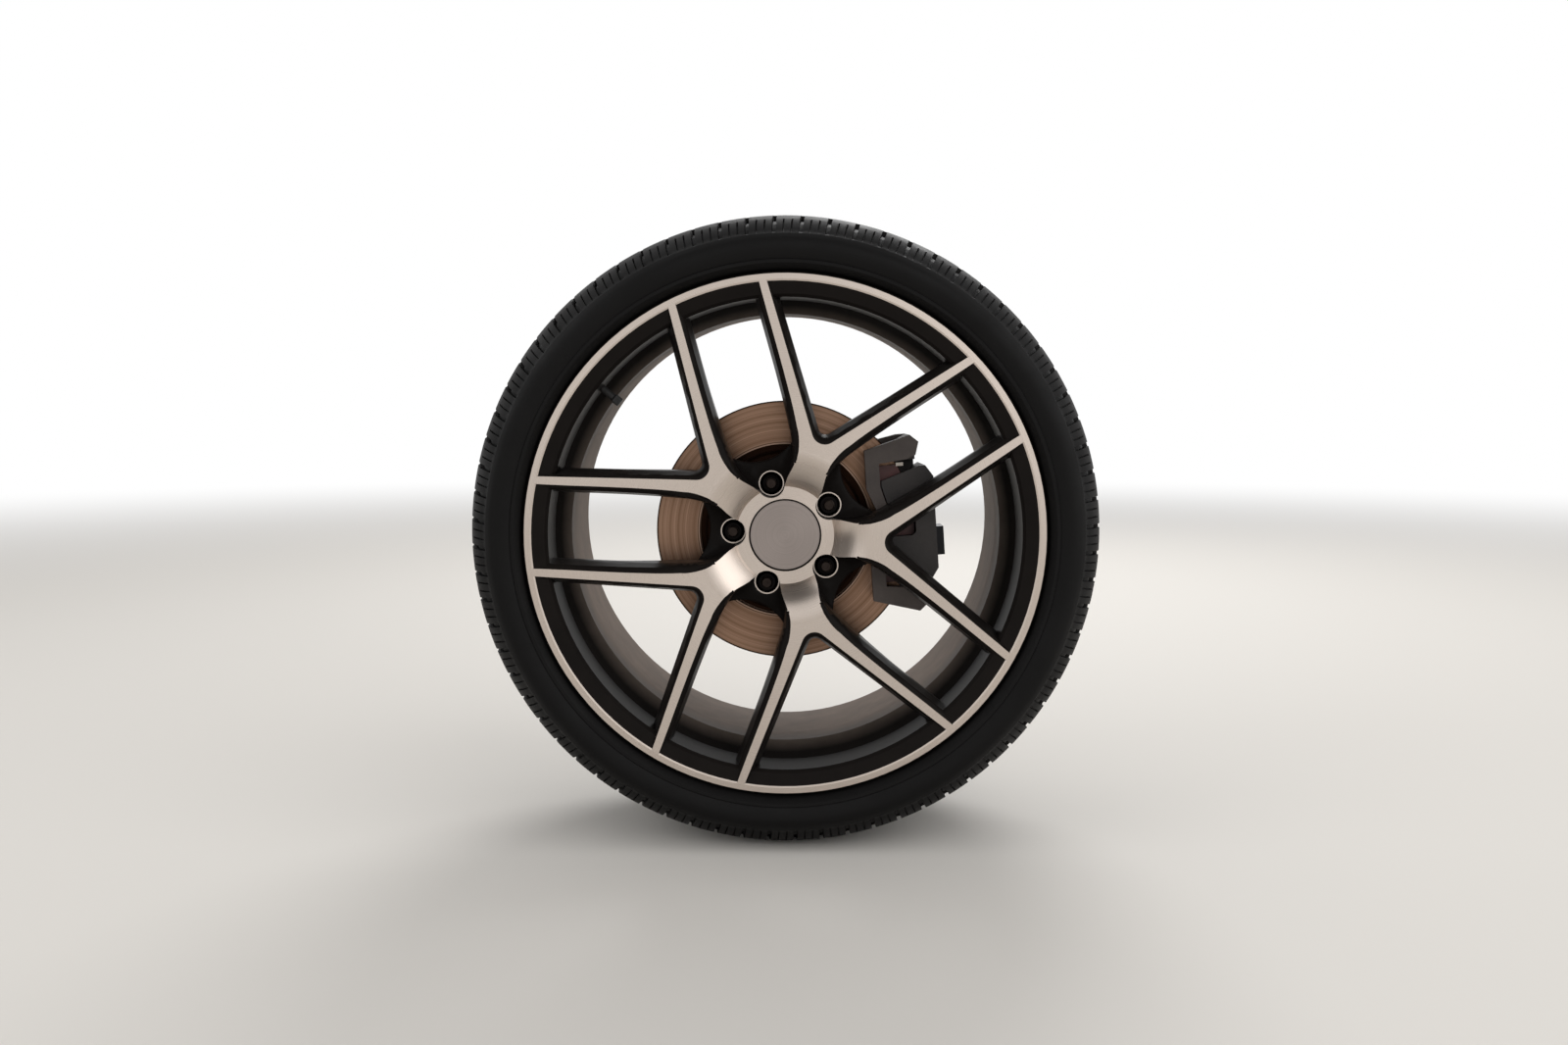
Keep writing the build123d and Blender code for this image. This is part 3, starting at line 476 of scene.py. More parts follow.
def set_front_normals(mesh):
    """Gives the turned faces their exact directions and leaves the others as they are."""
    normals = [Vector((0, 0, 0))] * len(mesh.loops)
    for polygon in mesh.polygons:
        if polygon.material_index == 1:
            lug_bevel = depth_of(polygon.center) > pocket_floor
            flat = lug_bevel or distance_of(polygon.center) < hub_flat_end
            for i in polygon.loop_indices:
                normals[i] = front_normal(mesh.vertices[mesh.loops[i].vertex_index].co, flat)
    mesh.normals_split_custom_set(normals)


# %% Wheel face mesh
most_cut_rounds = 8
face_sharp_angle = math.radians(30)


def make_wheel_face():
    """The casting's mesh with its turned faces marked, cut finer and eased."""
    shape = bmesh.new()
    shape.from_mesh(nodes["wheel_face"].data)
    bmesh.ops.remove_doubles(shape, verts=shape.verts, dist=1e-6)
    for face in shape.faces:
        face.material_index = int(is_turned(face))
        face.smooth = True
    for _ in range(most_cut_rounds):
        long_edges = [edge for edge in shape.edges if too_long(edge)]
        if not long_edges:
            break
        bmesh.ops.subdivide_edges(shape, edges=long_edges, cuts=1)
        bmesh.ops.triangulate(shape, faces=[f for f in shape.faces if len(f.verts) > 3])
    for vertex in shape.verts:
        vertex.co = eased(vertex.co)
    mesh = bpy.data.meshes.new("spoked_wheel_face")
    shape.to_mesh(mesh)
    shape.free()
    mesh.set_sharp_from_angle(angle=face_sharp_angle)
    set_front_normals(mesh)
    print("wheel face triangles", len(mesh.polygons))
    return link_object("spoked_wheel_face", mesh)


face = make_wheel_face()
face.data.materials.append(whole_finish("satin_black_paint", black_paint))
face.data.materials.append(whole_finish("machined_aluminium", bare_metal))
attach(face, "wheel")
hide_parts("wheel_face")

# %% [markdown]
# ## One recipe for the plain metals and plastics
#
# Cast, plated, ground and moulded surfaces differ in colour, metalness, gloss and in the size of
# their surface pattern. A material could be built by hand for each. One function holds what they
# share instead: a colour that drifts between two tones, and a grain that varies the gloss and
# raises the bump. Their real grains are mostly a few tenths of a millimetre wide, too fine to
# show here, so they are drawn 0.8 to 2 mm wide.

# %% Recipe for plain finishes
drift_size = 45.0
# where the drifting pattern shows the dark tone only, and where the light one
tone_stops = (0.35, 0.65)


def grained(name, dark, light, metallic, roughness, grain_mm, bump_mm):
    """A finish with two tones, a roughness range (low, high) and a grain of a real size."""
    material, tree = new_material(name)
    place = add(tree, "ShaderNodeTexCoord")
    drift = add(tree, "ShaderNodeTexNoise", {
        "Vector": place.outputs["Object"], "Scale": 1 / (drift_size * MM), "Detail": 4.0,
    })
    grain = add(tree, "ShaderNodeTexNoise", {
        "Vector": place.outputs["Object"], "Scale": 1 / (grain_mm * MM), "Detail": 3.0,
    })
    tone = add(tree, "ShaderNodeValToRGB", {0: drift.outputs[0]})
    for stop, at, tint in zip(tone.color_ramp.elements, tone_stops, (dark, light)):
        stop.position = at
        stop.color = linear(tint)
    rough = add(tree, "ShaderNodeMapRange", {0: grain.outputs[0], 3: roughness[0], 4: roughness[1]})
    bump = add(tree, "ShaderNodeBump", {
        "Strength": 0.5, "Distance": bump_mm * MM, "Height": grain.outputs[0],
    })
    inputs = {
        "Base Color": tone.outputs[0], "Metallic": metallic, "Roughness": rough.outputs[0],
        "Normal": bump.outputs[0],
    }
    if metallic == 0.0:
        inputs["IOR"] = 1.5
    shader = add(tree, "ShaderNodeBsdfPrincipled", inputs)
    add(tree, "ShaderNodeOutputMaterial", {"Surface": shader.outputs[0]})
    return material


# %% Plain finishes
studs = [name for name in nodes if name.startswith("wheel_stud")]
nuts = [name for name in nodes if name.startswith("wheel_nut")]
# name, two tones, metalness, roughness range, grain and bump sizes in mm, then the nodes
# steel blackened in a hot bath: nearly black, with a metal's low sheen
give(grained("black_oxide_steel", "#0c0b0b", "#151313", 1.0, (0.3, 0.45), 1.5, 0.05), *nuts)
# a thin plate of zinc: pale and slightly warm, with soft highlights
give(grained("zinc_plated_steel", "#9a968c", "#b3afa4", 1.0, (0.25, 0.42), 2.0, 0.04),
     "guide_pin_upper", "guide_pin_lower", "bracket_bolt_upper", "bracket_bolt_lower",
     "axle_nut", "axle_washer")
# iron cast in sand under a thin grey coat: a pebbled, dull skin
give(grained("coated_cast_iron", "#3c3532", "#4b433f", 0.3, (0.42, 0.6), 1.6, 0.25),
     "caliper_bracket")
# cast aluminium under a dark coat: the same skin, a little finer and darker
give(grained("coated_cast_aluminium", "#211d1c", "#2e2927", 0.3, (0.42, 0.6), 1.4, 0.22),
     "caliper_housing")
# machined, anodised in an acid bath and dyed: smooth and black, with a metal's highlights
give(grained("black_anodised_aluminium", "#141415", "#1e1e20", 0.8, (0.3, 0.42), 0.8, 0.03),
     "line_union", "belt_pulley")
# powder melted onto the metal: a satin plastic skin with a slight peel
give(grained("powder_coated_aluminium", "#121213", "#19191b", 0.0, (0.38, 0.5), 1.1, 0.1),
     "hub_carrier")
# hard steel ground smooth: bright, with tight highlights
give(grained("ground_bearing_steel", "#8d8d8d", "#a3a3a2", 1.0, (0.2, 0.3), 1.0, 0.02),
     "bearing_outer", "bearing_inner")
# moulded rubber: black and matt
give(grained("epdm_valve_rubber", "#131212", "#1b1a1a", 0.0, (0.6, 0.75), 1.0, 0.05),
     "valve_stem")
print("studs", len(studs), "nuts", len(nuts))

# %% [markdown]
# ## Threaded studs
#
# A stud's thread is a fine helix of 1.5 mm pitch that only its tip shows. It could be swept as
# geometry. At this size a bump that repeats along the stud reads as the thread, for no extra
# faces. The tips have a thin brown film of rust, which dulls the metal in patches.

# %% Stud steel
# in mm
thread_pitch = 1.5
thread_depth = 0.5
film_patch = 4.0
# the length in metres after which a wave texture of scale 1 repeats
wave_length = math.pi / 10


def threaded_steel():
    """Plain steel with thread lines along the axle and a brown film."""
    material, tree = new_material("threaded_plain_steel")
    place = add(tree, "ShaderNodeTexCoord")
    thread = add(tree, "ShaderNodeTexWave", {
        "Vector": place.outputs["Object"], "Scale": wave_length / (thread_pitch * MM),
    }, bands_direction="Y", wave_type="BANDS")
    film = add(tree, "ShaderNodeTexNoise", {
        "Vector": place.outputs["Object"], "Scale": 1 / (film_patch * MM), "Detail": 4.0,
    })
    tone = add(tree, "ShaderNodeMix", {
        "Factor": film.outputs[0], 6: linear("#1d1917"), 7: linear("#39312d"),
    }, data_type="RGBA")
    rough = add(tree, "ShaderNodeMapRange", {0: film.outputs[0], 3: 0.32, 4: 0.55})
    bump = add(tree, "ShaderNodeBump", {
        "Strength": 0.8, "Distance": thread_depth * MM, "Height": thread.outputs[1],
    })
    shader = add(tree, "ShaderNodeBsdfPrincipled", {
        "Base Color": tone.outputs[2], "Metallic": 1.0, "Roughness": rough.outputs[0],
        "Normal": bump.outputs[0],
    })
    add(tree, "ShaderNodeOutputMaterial", {"Surface": shader.outputs[0]})
    return material


give(threaded_steel(), *studs)

# %% [markdown]
# ## Brake pads
#
# A pad is a block of friction lining on a steel plate. The plate is dipped in dark red primer.
# The lining is a grey mix of fibres, resin and metal grains, which show as pale specks. The
# specks are drawn 1.6 mm wide, a little over life size, so that they show. Plate and lining are
# one solid, so one material tells them apart by their depth behind the ring.

# %% Pad finish
# depths behind the ring in mm, between which each pad's plate lies
plate_depths = {"brake_pad_outer": (70.0, 78.6), "brake_pad_inner": (119.4, 130.0)}
# in mm
speck_size = 1.6
speck_depth = 0.15
primer_patch = 12.0
# distance from a speck's middle as a share of its size, and the colour there
speck_stops = ((0.12, "#6d6259"), (0.3, "#2c2725"))


def pad_finish(node):
    """Red primer on the backing plate's depths, speckled lining on the rest."""
    material, tree = new_material("friction_lining_on_red_primer")
    place, _, depth = axle_coordinates(tree)
    plate = is_between(tree, depth, *plate_depths[node])
    speck = add(tree, "ShaderNodeTexVoronoi", {
        "Vector": place.outputs["Object"], "Scale": 1 / (speck_size * MM),
    })
    grains = add(tree, "ShaderNodeValToRGB", {0: speck.outputs["Distance"]})
    for stop, (at, tint) in zip(grains.color_ramp.elements, speck_stops):
        stop.position = at
        stop.color = linear(tint)
    drift = add(tree, "ShaderNodeTexNoise", {
        "Vector": place.outputs["Object"], "Scale": 1 / (primer_patch * MM), "Detail": 3.0,
    })
    primer = add(tree, "ShaderNodeMix", {
        "Factor": drift.outputs[0], 6: linear("#34100e"), 7: linear("#4e1814"),
    }, data_type="RGBA")
    tone = add(tree, "ShaderNodeMix", {
        "Factor": plate, 6: grains.outputs[0], 7: primer.outputs[2],
    }, data_type="RGBA")
    rough = add(tree, "ShaderNodeMapRange", {0: plate, 3: 0.85, 4: 0.5})
    bump = add(tree, "ShaderNodeBump", {
        "Strength": 0.5, "Distance": speck_depth * MM, "Height": speck.outputs["Distance"],
    })
    shader = add(tree, "ShaderNodeBsdfPrincipled", {
        "Base Color": tone.outputs[2], "Roughness": rough.outputs[0], "Normal": bump.outputs[0],
    })
    add(tree, "ShaderNodeOutputMaterial", {"Surface": shader.outputs[0]})
    return material


for node in plate_depths:
    give(pad_finish(node), node)

# %% [markdown]
# ## Ground cast iron, turned steel and the centre cap
#
# The pads polish the disc's friction band into fine circles, with a thin tan film of pad dust.
# Just inside and outside the band the pads don't reach, so a bright worn step and a dark, rusty
# edge remain there. The hub and the cap are turned too, and share the lathe's pattern.
#
# The disc's bands could be rings of their own. They lie flush with each other, so a colour ramp
# that reads the distance from the axle draws them. Real marks lie 0.1 to 0.3 mm apart, and are
# drawn 0.5 to 0.9 mm apart so that they show.

# %% Recipe for turned finishes
# the broad lines among the fine ones are this many times as wide
broad_share = 5


def turned_finish(name, tones, roughness, anisotropy, pitch_mm, depth_mm, stops=None):
    """Metal with circular lines. Stops give (distance from the axle in mm, colour) along it."""
    material, tree = new_material(name)
    place, radius, _ = axle_coordinates(tree)
    line = circular_lines(tree, radius, pitch_mm)
    broad = circular_lines(tree, radius, broad_share * pitch_mm)
    blend = add(tree, "ShaderNodeMath", {0: line, 1: broad}, operation="ADD")
    share = add(tree, "ShaderNodeMapRange", {0: blend.outputs[0], 1: 0.75, 2: 1.3})
    colour = add(tree, "ShaderNodeMix", {
        "Factor": share.outputs[0], 6: linear(tones[0]), 7: linear(tones[1]),
    }, data_type="RGBA").outputs[2]
    if stops:
        reach = stops[-1][0]
        along = add(tree, "ShaderNodeMath", {0: radius, 1: 1 / reach}, operation="MULTIPLY")
        ramp = add(tree, "ShaderNodeValToRGB", {0: along.outputs[0]})
        elements = ramp.color_ramp.elements
        for stop, (distance, tint) in zip(elements, (stops[0], stops[-1])):
            stop.position = distance / reach
            stop.color = linear(tint)
        for distance, tint in stops[1:-1]:
            elements.new(distance / reach).color = linear(tint)
        colour = add(tree, "ShaderNodeMix", {"Factor": 1.0, 6: colour, 7: ramp.outputs[0]},
                     data_type="RGBA", blend_type="MULTIPLY").outputs[2]
    rough = add(tree, "ShaderNodeMapRange", {0: line, 3: roughness[0], 4: roughness[1]})
    bump = add(tree, "ShaderNodeBump", {
        "Strength": 0.4, "Distance": depth_mm * MM, "Height": blend.outputs[0],
    })
    shader = add(tree, "ShaderNodeBsdfPrincipled", {
        "Base Color": colour, "Metallic": 1.0, "Roughness": rough.outputs[0],
        "Anisotropic": anisotropy, "Tangent": outward_tangent(tree, place),
        "Normal": bump.outputs[0],
    })
    add(tree, "ShaderNodeOutputMaterial", {"Surface": shader.outputs[0]})
    return material


# %% Turned parts
# distance from the axle in mm, tint
disc_tints = [
    (86.0, "#3d3431"), (90.0, "#4a3f3a"), (94.6, "#59493f"), (95.2, "#ffffff"),
    (96.2, "#fffdf8"), (96.8, "#6e5f55"), (98.0, "#fff8ee"), (99.0, "#e8ddd2"),
    (140.6, "#f2e8dd"), (141.2, "#4b3d36"), (142.4, "#3a302b"),
]
give(turned_finish("ground_cast_iron", ("#836a59", "#aa9080"), (0.36, 0.5), 0.7, 0.9, 0.03,
                   disc_tints), "brake_disc")
give(turned_finish("satin_turned_aluminium", ("#8f8681", "#978d88"), (0.36, 0.42), 0.4, 0.5, 0.01),
     "centre_cap")
give(turned_finish("turned_steel", ("#6d6560", "#837a73"), (0.3, 0.42), 0.5, 0.9, 0.04), "hub")

# %% [markdown]
# ## Tyre
#
# The CAD tyre has four plain grooves round the crown. This one has the whole tread: the same
# four grooves, slanted grooves and paired fine cuts across the shoulders, and short cuts in the
# ribs.
#
# The cuts could be made with boolean tools, which leave ragged faces where hundreds of cuts meet.
# So the surface is one grid. Its rows follow the profile from bead to bead and its columns run
# round the tyre, with extra columns at both edges of each cut, so that every block has a steep
# wall. A cut is made by moving its grid points towards the axle.

# %% Tyre sizes
pitch_count = 72
groove_depth = 7.0
shoulder_groove_depth = 6.5
sipe_depth = 3.2
crown_flat = 60.0
buttress_drop = 34.7
buttress_power = 3.28

outer_rib = 73.0
inner_slant = 0.5
shoulder_slant = 0.05

pitch_length = 2 * math.pi * tyre_radius / pitch_count
# distance along one pitch in mm, which cut the column belongs to
columns = [
    (0.0, None), (0.4, "groove"), (4.4, "groove"), (4.8, None),
    (11.6, None), (11.9, "sipe"), (13.1, "sipe"), (13.4, None),
    (20.6, None), (20.9, "sipe"), (22.1, "sipe"), (22.4, None),
]


def crown_radius(across):
    """The tread's outer radius at a distance from the tyre's middle plane."""
    past = max(0.0, across - crown_flat) / (tyre_half_width - crown_flat)
    return tyre_radius - buttress_drop * past ** buttress_power


def slant(across):
    """How far a cut has moved round the tyre at a distance from the middle plane."""
    return inner_slant * min(across, outer_rib) + shoulder_slant * max(0.0, across - outer_rib)


# distance from the middle plane in mm, which part of the tread the row belongs to
tread_rows = [
    (0.0, "rib"), (7.0, "rib"), (9.0, "rib cut"), (19.6, "rib cut"),
    (20.2, "ditch"), (30.8, "ditch"),
    (31.4, "rib"), (40.0, "rib"), (46.0, "rib"), (48.0, "rib cut"), (61.6, "rib cut"),
    (62.2, "ditch"), (72.8, "ditch"),
    (73.4, "shoulder"), (79.0, "shoulder"), (81.0, "shoulder groove"), (92.0, "shoulder groove"),
    (102.0, "shoulder groove"), (109.0, "shoulder groove"), (111.0, "shoulder cut"),
    (116.0, "shoulder cut"), (120.0, "shoulder cut"), (123.5, "shoulder cut"),
    (126.5, "shoulder fade"), (129.5, "plain"),
]
# radius and distance from the middle plane in mm, down the sidewall to the bead
sidewall_rows = [
    (311.3, 131.0), (310.4, 131.7), (308.0, 133.9), (305.0, 135.8), (300.5, 137.2),
    (296.0, 137.0), (292.0, 136.2), (288.0, 134.9), (285.6, 133.8), (284.6, 134.7),
    (281.4, 134.3), (279.4, 132.4), (277.2, 129.6), (275.4, 126.0), (274.5, 122.0),
    (274.2, 118.4), (273.6, 117.7), (254.4, 117.4), (254.4, 94.0),
]
inner_rows = [
    (263.0, 93.0), (275.0, 116.0), (290.0, 127.0), (303.0, 127.0), (314.0, 116.0),
    (322.0, 96.0), (324.5, 60.0),
]


def cut_depth(part, cut):
    """How deep the surface lies at a crossing of a row's part and a column's cut."""
    if part == "ditch":
        return groove_depth
    depths = {
        ("rib cut", "groove"): 0.75 * groove_depth, ("rib cut", "sipe"): sipe_depth,
        ("shoulder groove", "groove"): shoulder_groove_depth,
        ("shoulder cut", "groove"): shoulder_groove_depth * 0.8,
        ("shoulder cut", "sipe"): sipe_depth,
        ("shoulder fade", "groove"): shoulder_groove_depth * 0.4,
        ("shoulder fade", "sipe"): sipe_depth * 0.5,
    }
    return depths.get((part, cut), 0.0)


# %% Tyre mesh
tyre_sharp_angle = math.radians(28)


def tyre_loop():
    """The closed profile: (radius, signed distance from the middle plane, tread part)."""
    half = [(crown_radius(a), a, part) for a, part in tread_rows]
    half += [(r, a, "plain") for r, a in sidewall_rows]
    half += [(r, a, "plain") for r, a in inner_rows]
    far = [(r, -a, part) for r, a, part in reversed(half) if a > 0]
    return half + far


def make_tyre():
    """The tyre as one closed grid, wrapped both ways."""
    loop = tyre_loop()
    angles = [(i * pitch_length + along, cut) for i in range(pitch_count) for along, cut in columns]
    vertices = []
    for radius, across, part in loop:
        turn_back = slant(abs(across)) + (pitch_length / 2 if across < 0 else 0.0)
        for along, cut in angles:
            r = (radius - cut_depth(part, cut)) * MM
            angle = (along + turn_back) / tyre_radius
            y = (tyre_middle - across) * MM
            vertices.append((r * math.cos(angle), y, r * math.sin(angle)))
    rows = len(loop)
    wide = len(angles)
    faces = []
    for i in range(rows):
        j = (i + 1) % rows
        for k in range(wide):
            n = (k + 1) % wide
            faces.append((i * wide + k, j * wide + k, j * wide + n, i * wide + n))
    mesh = bpy.data.meshes.new("tyre_with_tread")
    mesh.from_pydata(vertices, [], faces)
    mesh.update()
    mesh.set_sharp_from_angle(angle=tyre_sharp_angle)
    print("tyre faces", len(faces))
    return link_object("tyre_with_tread", mesh)


tyre = make_tyre()

# %% Tyre rubber
# in mm. The mould's real grain is finer, and is drawn as coarse as it needs to show.
dirt_patch = 60.0
rubber_grain = 1.2
grain_depth = 0.1
# how far below the tread's top the road dust ends and is full, in mm
dirt_end = 16
dirt_full = 1


def tyre_rubber():
    """Moulded black rubber: matt, with road dust on the tread and a soft sheen on the sides."""
    material, tree = new_material("tyre_rubber")
    place, radius, _ = axle_coordinates(tree)
    drift = add(tree, "ShaderNodeTexNoise", {
        "Vector": place.outputs["Object"], "Scale": 1 / (dirt_patch * MM), "Detail": 5.0,
        "Roughness": 0.6,
    })
    grain = add(tree, "ShaderNodeTexNoise", {
        "Vector": place.outputs["Object"], "Scale": 1 / (rubber_grain * MM), "Detail": 2.0,
    })
    worn = add(tree, "ShaderNodeMapRange", {
        0: radius, 1: tyre_radius - dirt_end, 2: tyre_radius - dirt_full, 3: 0.0, 4: 0.8,
    })
    patches = add(tree, "ShaderNodeMapRange", {
        0: drift.outputs[0], 1: 0.4, 2: 0.7, 3: 0.15, 4: 1.0,
    })
    lighter_tone_share = add(tree, "ShaderNodeMath", {0: patches.outputs[0], 1: worn.outputs[0]},
                operation="MULTIPLY")
    tone = add(tree, "ShaderNodeMix", {
        "Factor": lighter_tone_share.outputs[0], 6: linear("#090808"), 7: linear("#1f1b1a"),
    }, data_type="RGBA")
    rough = add(tree, "ShaderNodeMapRange", {0: drift.outputs[0], 1: 0.3, 2: 0.7, 3: 0.5, 4: 0.66})
    bump = add(tree, "ShaderNodeBump", {
        "Strength": 0.35, "Distance": grain_depth * MM, "Height": grain.outputs[0],
    })
    shader = add(tree, "ShaderNodeBsdfPrincipled", {
        "Base Color": tone.outputs[2], "Roughness": rough.outputs[0], "IOR": 1.52,
        "Specular IOR Level": 0.13, "Normal": bump.outputs[0],
    })
    add(tree, "ShaderNodeOutputMaterial", {"Surface": shader.outputs[0]})
    return material


tyre.data.materials.append(tyre_rubber())
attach(tyre, "wheel")
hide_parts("tyre")

# %% [markdown]
# ## Small trim
#
# Small parts that the CAD leaves out or keeps plain: the ribbed valve cap, the bellows boots on
# the caliper's guide pins, the bleed nipple with its rubber cap, and the spring clips at the pads'
# ends. All but the clips are turned shapes, made from a profile and an axis. A Screw modifier
# could turn them. This function also tilts the axis, and cuts the valve cap's ribs.

# %% Recipe for turned trim
trim_sharp_angle = math.radians(35)
# in mm, so that a profile that ends on its axis keeps a small end face
least_radius = 0.05


def turned_piece(name, base, direction, profile, sides=48, rib=0.0):
    """Turns (distance along the axis, radius) in mm about an axis. Every third side can be cut."""
    axis = Vector(direction).normalized()
    first = axis.orthogonal().normalized()
    second = axis.cross(first)
    shape = bmesh.new()
    rows = []
    for along, radius in profile:
        row = []
        for i in range(sides):
            turn = 2 * math.pi * i / sides
            reach = max(radius - (rib if i % 3 == 0 else 0.0), least_radius)
            across = first * math.cos(turn) + second * math.sin(turn)
            row.append(shape.verts.new(base + (axis * along + across * reach) * MM))
        rows.append(row)
    for low, high in zip(rows, rows[1:]):
        for i in range(sides):
            shape.faces.new([low[i], low[(i + 1) % sides], high[(i + 1) % sides], high[i]])
    shape.faces.new(list(reversed(rows[0])))
    shape.faces.new(rows[-1])
    return finished_piece(name, shape)


def finished_piece(name, shape):
    """An object from a bmesh, with outward faces and smooth shading up to the sharp angle."""
    bmesh.ops.recalc_face_normals(shape, faces=shape.faces)
    mesh = bpy.data.meshes.new(name)
    shape.to_mesh(mesh)
    shape.free()
    mesh.shade_smooth()
    mesh.set_sharp_from_angle(angle=trim_sharp_angle)
    print(name, len(mesh.polygons))
    return link_object(name, mesh)


# %% Places on the caliper
caliper_tilt = math.radians(4)


def caliper_point(reach, side, depth):
    """A point in metres from the caliper's own reach, side and depth in mm."""
    x = reach * math.cos(caliper_tilt) - side * math.sin(caliper_tilt)
    z = reach * math.sin(caliper_tilt) + side * math.cos(caliper_tilt)
    return Vector((x, depth + ring_face, z)) * MM


# %% Pad clips
# the strip's outline: distance to the side of the caliper's middle and depth, in mm
clip_bends = [
    (62.8, 72.4), (66.4, 72.4), (66.4, 80.0), (65.8, 80.0), (65.8, 73.0), (62.8, 73.0),
]
clip_reach = (125.0, 133.0)


def clip_piece(name, side_sign):
    """A bent strip of spring steel at one end of the outer pad."""
    shape = bmesh.new()
    ends = [[shape.verts.new(caliper_point(reach, side * side_sign, depth))
             for side, depth in clip_bends] for reach in clip_reach]
    for i in range(len(clip_bends)):
        j = (i + 1) % len(clip_bends)
        shape.faces.new([ends[0][i], ends[0][j], ends[1][j], ends[1][i]])
    shape.faces.new(ends[0])
    shape.faces.new(list(reversed(ends[1])))
    return finished_piece(name, shape)


# %% Trim sizes
# distance along the axis and radius in mm
boot_profile = [
    (0.1, 4.7), (0.1, 8.1), (0.9, 8.4), (1.5, 6.6), (2.3, 8.1), (3.1, 6.5), (3.9, 7.8),
    (4.7, 6.3), (5.3, 7.0), (5.9, 6.9), (5.9, 4.7),
]
boot_front = 130.0
nipple_profile = [(0.1, 5.4), (3.6, 5.4), (4.0, 4.9), (4.0, 3.4), (8.5, 3.4), (9.3, 2.4)]
nipple_cap_profile = [
    (5.2, 4.6), (5.2, 4.9), (6.8, 4.9), (7.1, 4.3), (11.5, 4.1), (12.6, 3.3), (12.9, 0.05),
]
nipple_base = caliper_point(150.0, 22.0, 148.5)
cap_profile = [(-4.4, 4.3), (-4.1, 4.9), (3.2, 4.9), (4.1, 4.1), (4.4, 2.6), (4.4, 0.4)]

# %% Trim finishes
# soft moulded rubber: black and matt, a little smoother than the valve's
rubber_finish = grained("moulded_epdm_rubber", "#121111", "#1a1919", 0.0, (0.55, 0.7), 0.8, 0.04)
# rolled spring steel: a warm grey metal with even highlights
steel_finish = grained("bright_spring_steel", "#8b847c", "#a39c94", 1.0, (0.3, 0.42), 0.8, 0.01)
# moulded nylon: a black plastic with a satin sheen
plastic_finish = grained("moulded_nylon", "#151515", "#1d1d1d", 0.0, (0.4, 0.55), 0.8, 0.05)

# %% Trim on the caliper
# piece, body, slot, finish
trim = []
for end in ("upper", "lower"):
    low, high = box_of("guide_pin_" + end)
    middle = (low + high) / 2
    pin_axis = Vector((middle.x, boot_front + ring_face, middle.z)) * MM
    trim.append((turned_piece("guide_pin_boot_" + end, pin_axis, (0, 1, 0), boot_profile),
                 "carrier", "valve_rubber", rubber_finish))
trim.append((turned_piece("bleed_nipple", nipple_base, (0, 1, 0), nipple_profile, sides=6),
             "carrier", "steel", steel_finish))
trim.append((turned_piece("bleed_nipple_cap", nipple_base, (0, 1, 0), nipple_cap_profile),
             "carrier", "valve_rubber", rubber_finish))
for end, sign in (("upper", 1), ("lower", -1)):
    trim.append((clip_piece("pad_clip_" + end, sign), "carrier", "steel", steel_finish))

# %% Valve cap
low, high = box_of("valve_cap")
cap_middle = (low + high) / 2 * MM
cap = turned_piece("ribbed_valve_cap", cap_middle, (cap_middle.x, 0, cap_middle.z), cap_profile,
                   sides=60, rib=0.35)
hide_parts("valve_cap")
trim.append((cap, "wheel", "plastic_black", plastic_finish))

# %% Hand the trim over
for piece, body, slot, finish in trim:
    piece.data.materials.append(finish)
    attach(piece, body)
print("trim pieces", len(trim))

# %% [markdown]
# ## Floor and light
#
# The floor is a wide pale disc at the tread's lowest point. A curved backdrop could hide where it
# ends. Instead it fades to white far from the wheel, which looks the same from every side. The
# world is white where the camera, a reflection or glass sees it. For diffuse light it is dimmer,
# and large soft lamps give the shape.

# %% Rays that see a plain white


def seen_directly(tree):
    """1 for rays from the camera, a reflection or glass, 0 for diffuse light."""
    rays = add(tree, "ShaderNodeLightPath")
    seen = rays.outputs["Is Camera Ray"]
    for kind in ("Is Glossy Ray", "Is Transmission Ray"):
        seen = add(tree, "ShaderNodeMath", {0: seen, 1: rays.outputs[kind]},
                   operation="MAXIMUM").outputs[0]
    return seen


# %% Floor
# metres
floor_radius = 14.0
fade_start = 2.2
fade_end = 7.0
floor_steps = 96


def make_floor():
    """A pale round floor that fades to white far from the wheel."""
    turns = [2 * math.pi * i / floor_steps for i in range(floor_steps)]
    ring = [(floor_radius * math.cos(turn), floor_radius * math.sin(turn), floor_level * MM)
            for turn in turns]
    mesh = bpy.data.meshes.new("floor")
    mesh.from_pydata(ring, [], [tuple(range(floor_steps))])
    floor = link_object("floor", mesh)
    material, tree = new_material("pale_studio_floor")
    place = add(tree, "ShaderNodeTexCoord")
    away = add(tree, "ShaderNodeVectorMath", {0: place.outputs["Object"]}, operation="LENGTH")
    fade = add(tree, "ShaderNodeMapRange", {
        0: away.outputs["Value"], 1: fade_start, 2: fade_end,
    }, interpolation_type="SMOOTHSTEP")
    base = add(tree, "ShaderNodeBsdfPrincipled", {
        "Base Color": linear("#d9d5cf"), "Roughness": 0.75,
    })
    white = add(tree, "ShaderNodeEmission", {"Color": (1, 1, 1, 1), "Strength": 1.0})
    factor = add(tree, "ShaderNodeMath", {0: fade.outputs[0], 1: seen_directly(tree)},
                 operation="MULTIPLY")
    mixed = add(tree, "ShaderNodeMixShader", {
        0: factor.outputs[0], 1: base.outputs[0], 2: white.outputs[0],
    })
    add(tree, "ShaderNodeOutputMaterial", {"Surface": mixed.outputs[0]})
    mesh.materials.append(material)


make_floor()
print("floor at", round(floor_level, 1), "mm")

# %% World
ambient_strength = 0.55


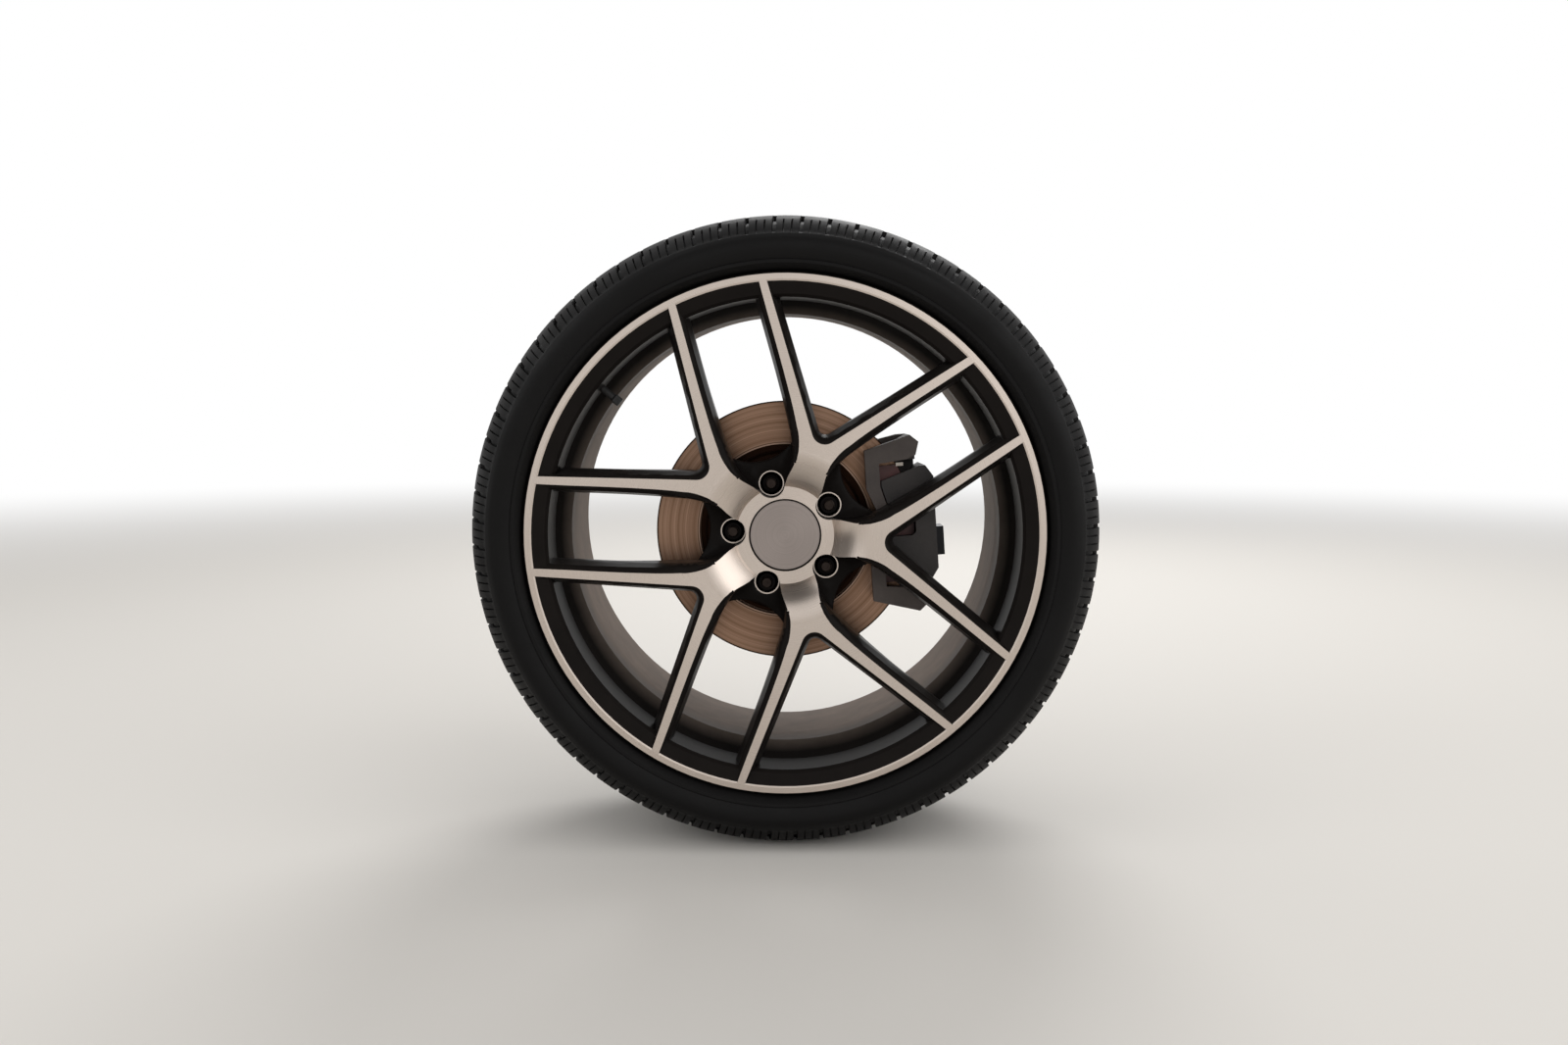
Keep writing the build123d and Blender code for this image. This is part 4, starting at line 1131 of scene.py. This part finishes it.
def make_world():
    """White where it is seen or reflected, and a dimmer ambient light for everything else."""
    world = bpy.data.worlds.new("studio")
    world.use_nodes = True
    tree = world.node_tree
    tree.nodes.clear()
    ambient = add(tree, "ShaderNodeBackground", {
        "Color": (1, 1, 1, 1), "Strength": ambient_strength,
    })
    white = add(tree, "ShaderNodeBackground", {"Color": (1, 1, 1, 1), "Strength": 1.0})
    mixed = add(tree, "ShaderNodeMixShader", {
        0: seen_directly(tree), 1: ambient.outputs[0], 2: white.outputs[0],
    })
    add(tree, "ShaderNodeOutputWorld", {"Surface": mixed.outputs[0]})
    bpy.context.scene.world = world


make_world()

# %% [markdown]
# ## Dark cards
#
# Bare metal shows what stands round it, and in an all-white room it looks flat. As in a product
# studio, dark cards stand above and beside the wheel, so that the hub's crest has dark and light
# sides. Only reflections see them.

# %% Dark cards
# name, centre in metres, width and height in metres
dark_cards = [
    ("card_above", (0.1, -0.9, 1.5), 2.4, 1.1),
    ("card_left", (-1.7, -1.0, 0.25), 1.2, 1.3),
]


def make_card(name, centre, width, height):
    """A flat dark card that faces the wheel."""
    middle = Vector(centre)
    turn = (-middle).to_track_quat("Z", "Y")
    corners = [(-width / 2, -height / 2), (width / 2, -height / 2), (width / 2, height / 2),
               (-width / 2, height / 2)]
    mesh = bpy.data.meshes.new(name)
    mesh.from_pydata([middle + turn @ Vector((x, y, 0)) for x, y in corners], [], [(0, 1, 2, 3)])
    card = link_object(name, mesh)
    card.visible_camera = False
    card.visible_diffuse = False
    card.visible_shadow = False
    card.visible_transmission = False
    return card


def card_paper():
    """Matt dark grey paper with a faint mottle."""
    material, tree = new_material("matt_grey_card")
    place = add(tree, "ShaderNodeTexCoord")
    mottle = add(tree, "ShaderNodeTexNoise", {"Vector": place.outputs["Object"], "Scale": 20.0})
    tone = add(tree, "ShaderNodeMix", {
        "Factor": mottle.outputs[0], 6: linear("#2e2b29"), 7: linear("#35322f"),
    }, data_type="RGBA")
    shader = add(tree, "ShaderNodeBsdfPrincipled", {
        "Base Color": tone.outputs[2], "Roughness": 0.9,
    })
    add(tree, "ShaderNodeOutputMaterial", {"Surface": shader.outputs[0]})
    return material


paper = card_paper()
for card_name, centre, width, height in dark_cards:
    make_card(card_name, centre, width, height).data.materials.append(paper)
print("dark cards", len(dark_cards))

# %% Lamps
# name, place in metres, width in metres, power in watts
lamps = [
    ("key", (2.4, -2.4, 1.9), 5.0, 68.0),
    ("fill", (-2.6, -1.6, 1.2), 2.4, 22.0),
    ("back", (0.6, 2.6, 2.4), 2.0, 60.0),
]
for name, place, width, power in lamps:
    light = bpy.data.lights.new(name, "AREA")
    light.shape = "DISK"
    light.size = width
    light.energy = power
    lamp = link_object(name, light)
    lamp.location = place
    lamp.rotation_euler = (-Vector(place)).to_track_quat("-Z", "Y").to_euler()
print("lamps", len(lamps))

# %% [markdown]
# ## Camera
#
# The camera stands 1.3 m in front of the rim's ring, a hand above the axle, and looks almost
# straight along it, a few degrees down. From so near, the barrel's far edge looks much smaller
# than the ring. That ratio fixed the distance, and the ring's size in the frame fixed the lens.

# %% Camera
# metres, degrees down, degrees to the left, then millimetres
camera_place = (0.0088, -1.590, 0.1349)
camera_pitch = 5.22
camera_yaw = 0.43
camera_lens = 28.9
camera_sensor = 36.0


def make_camera():
    """The camera that the main render uses."""
    data = bpy.data.cameras.new("camera")
    data.lens = camera_lens
    data.sensor_width = camera_sensor
    camera = link_object("camera", data)
    camera.location = camera_place
    camera.rotation_euler = (math.radians(90 - camera_pitch), 0, math.radians(camera_yaw))
    bpy.context.scene.camera = camera


make_camera()
bpy.context.scene.view_settings.view_transform = "Standard"
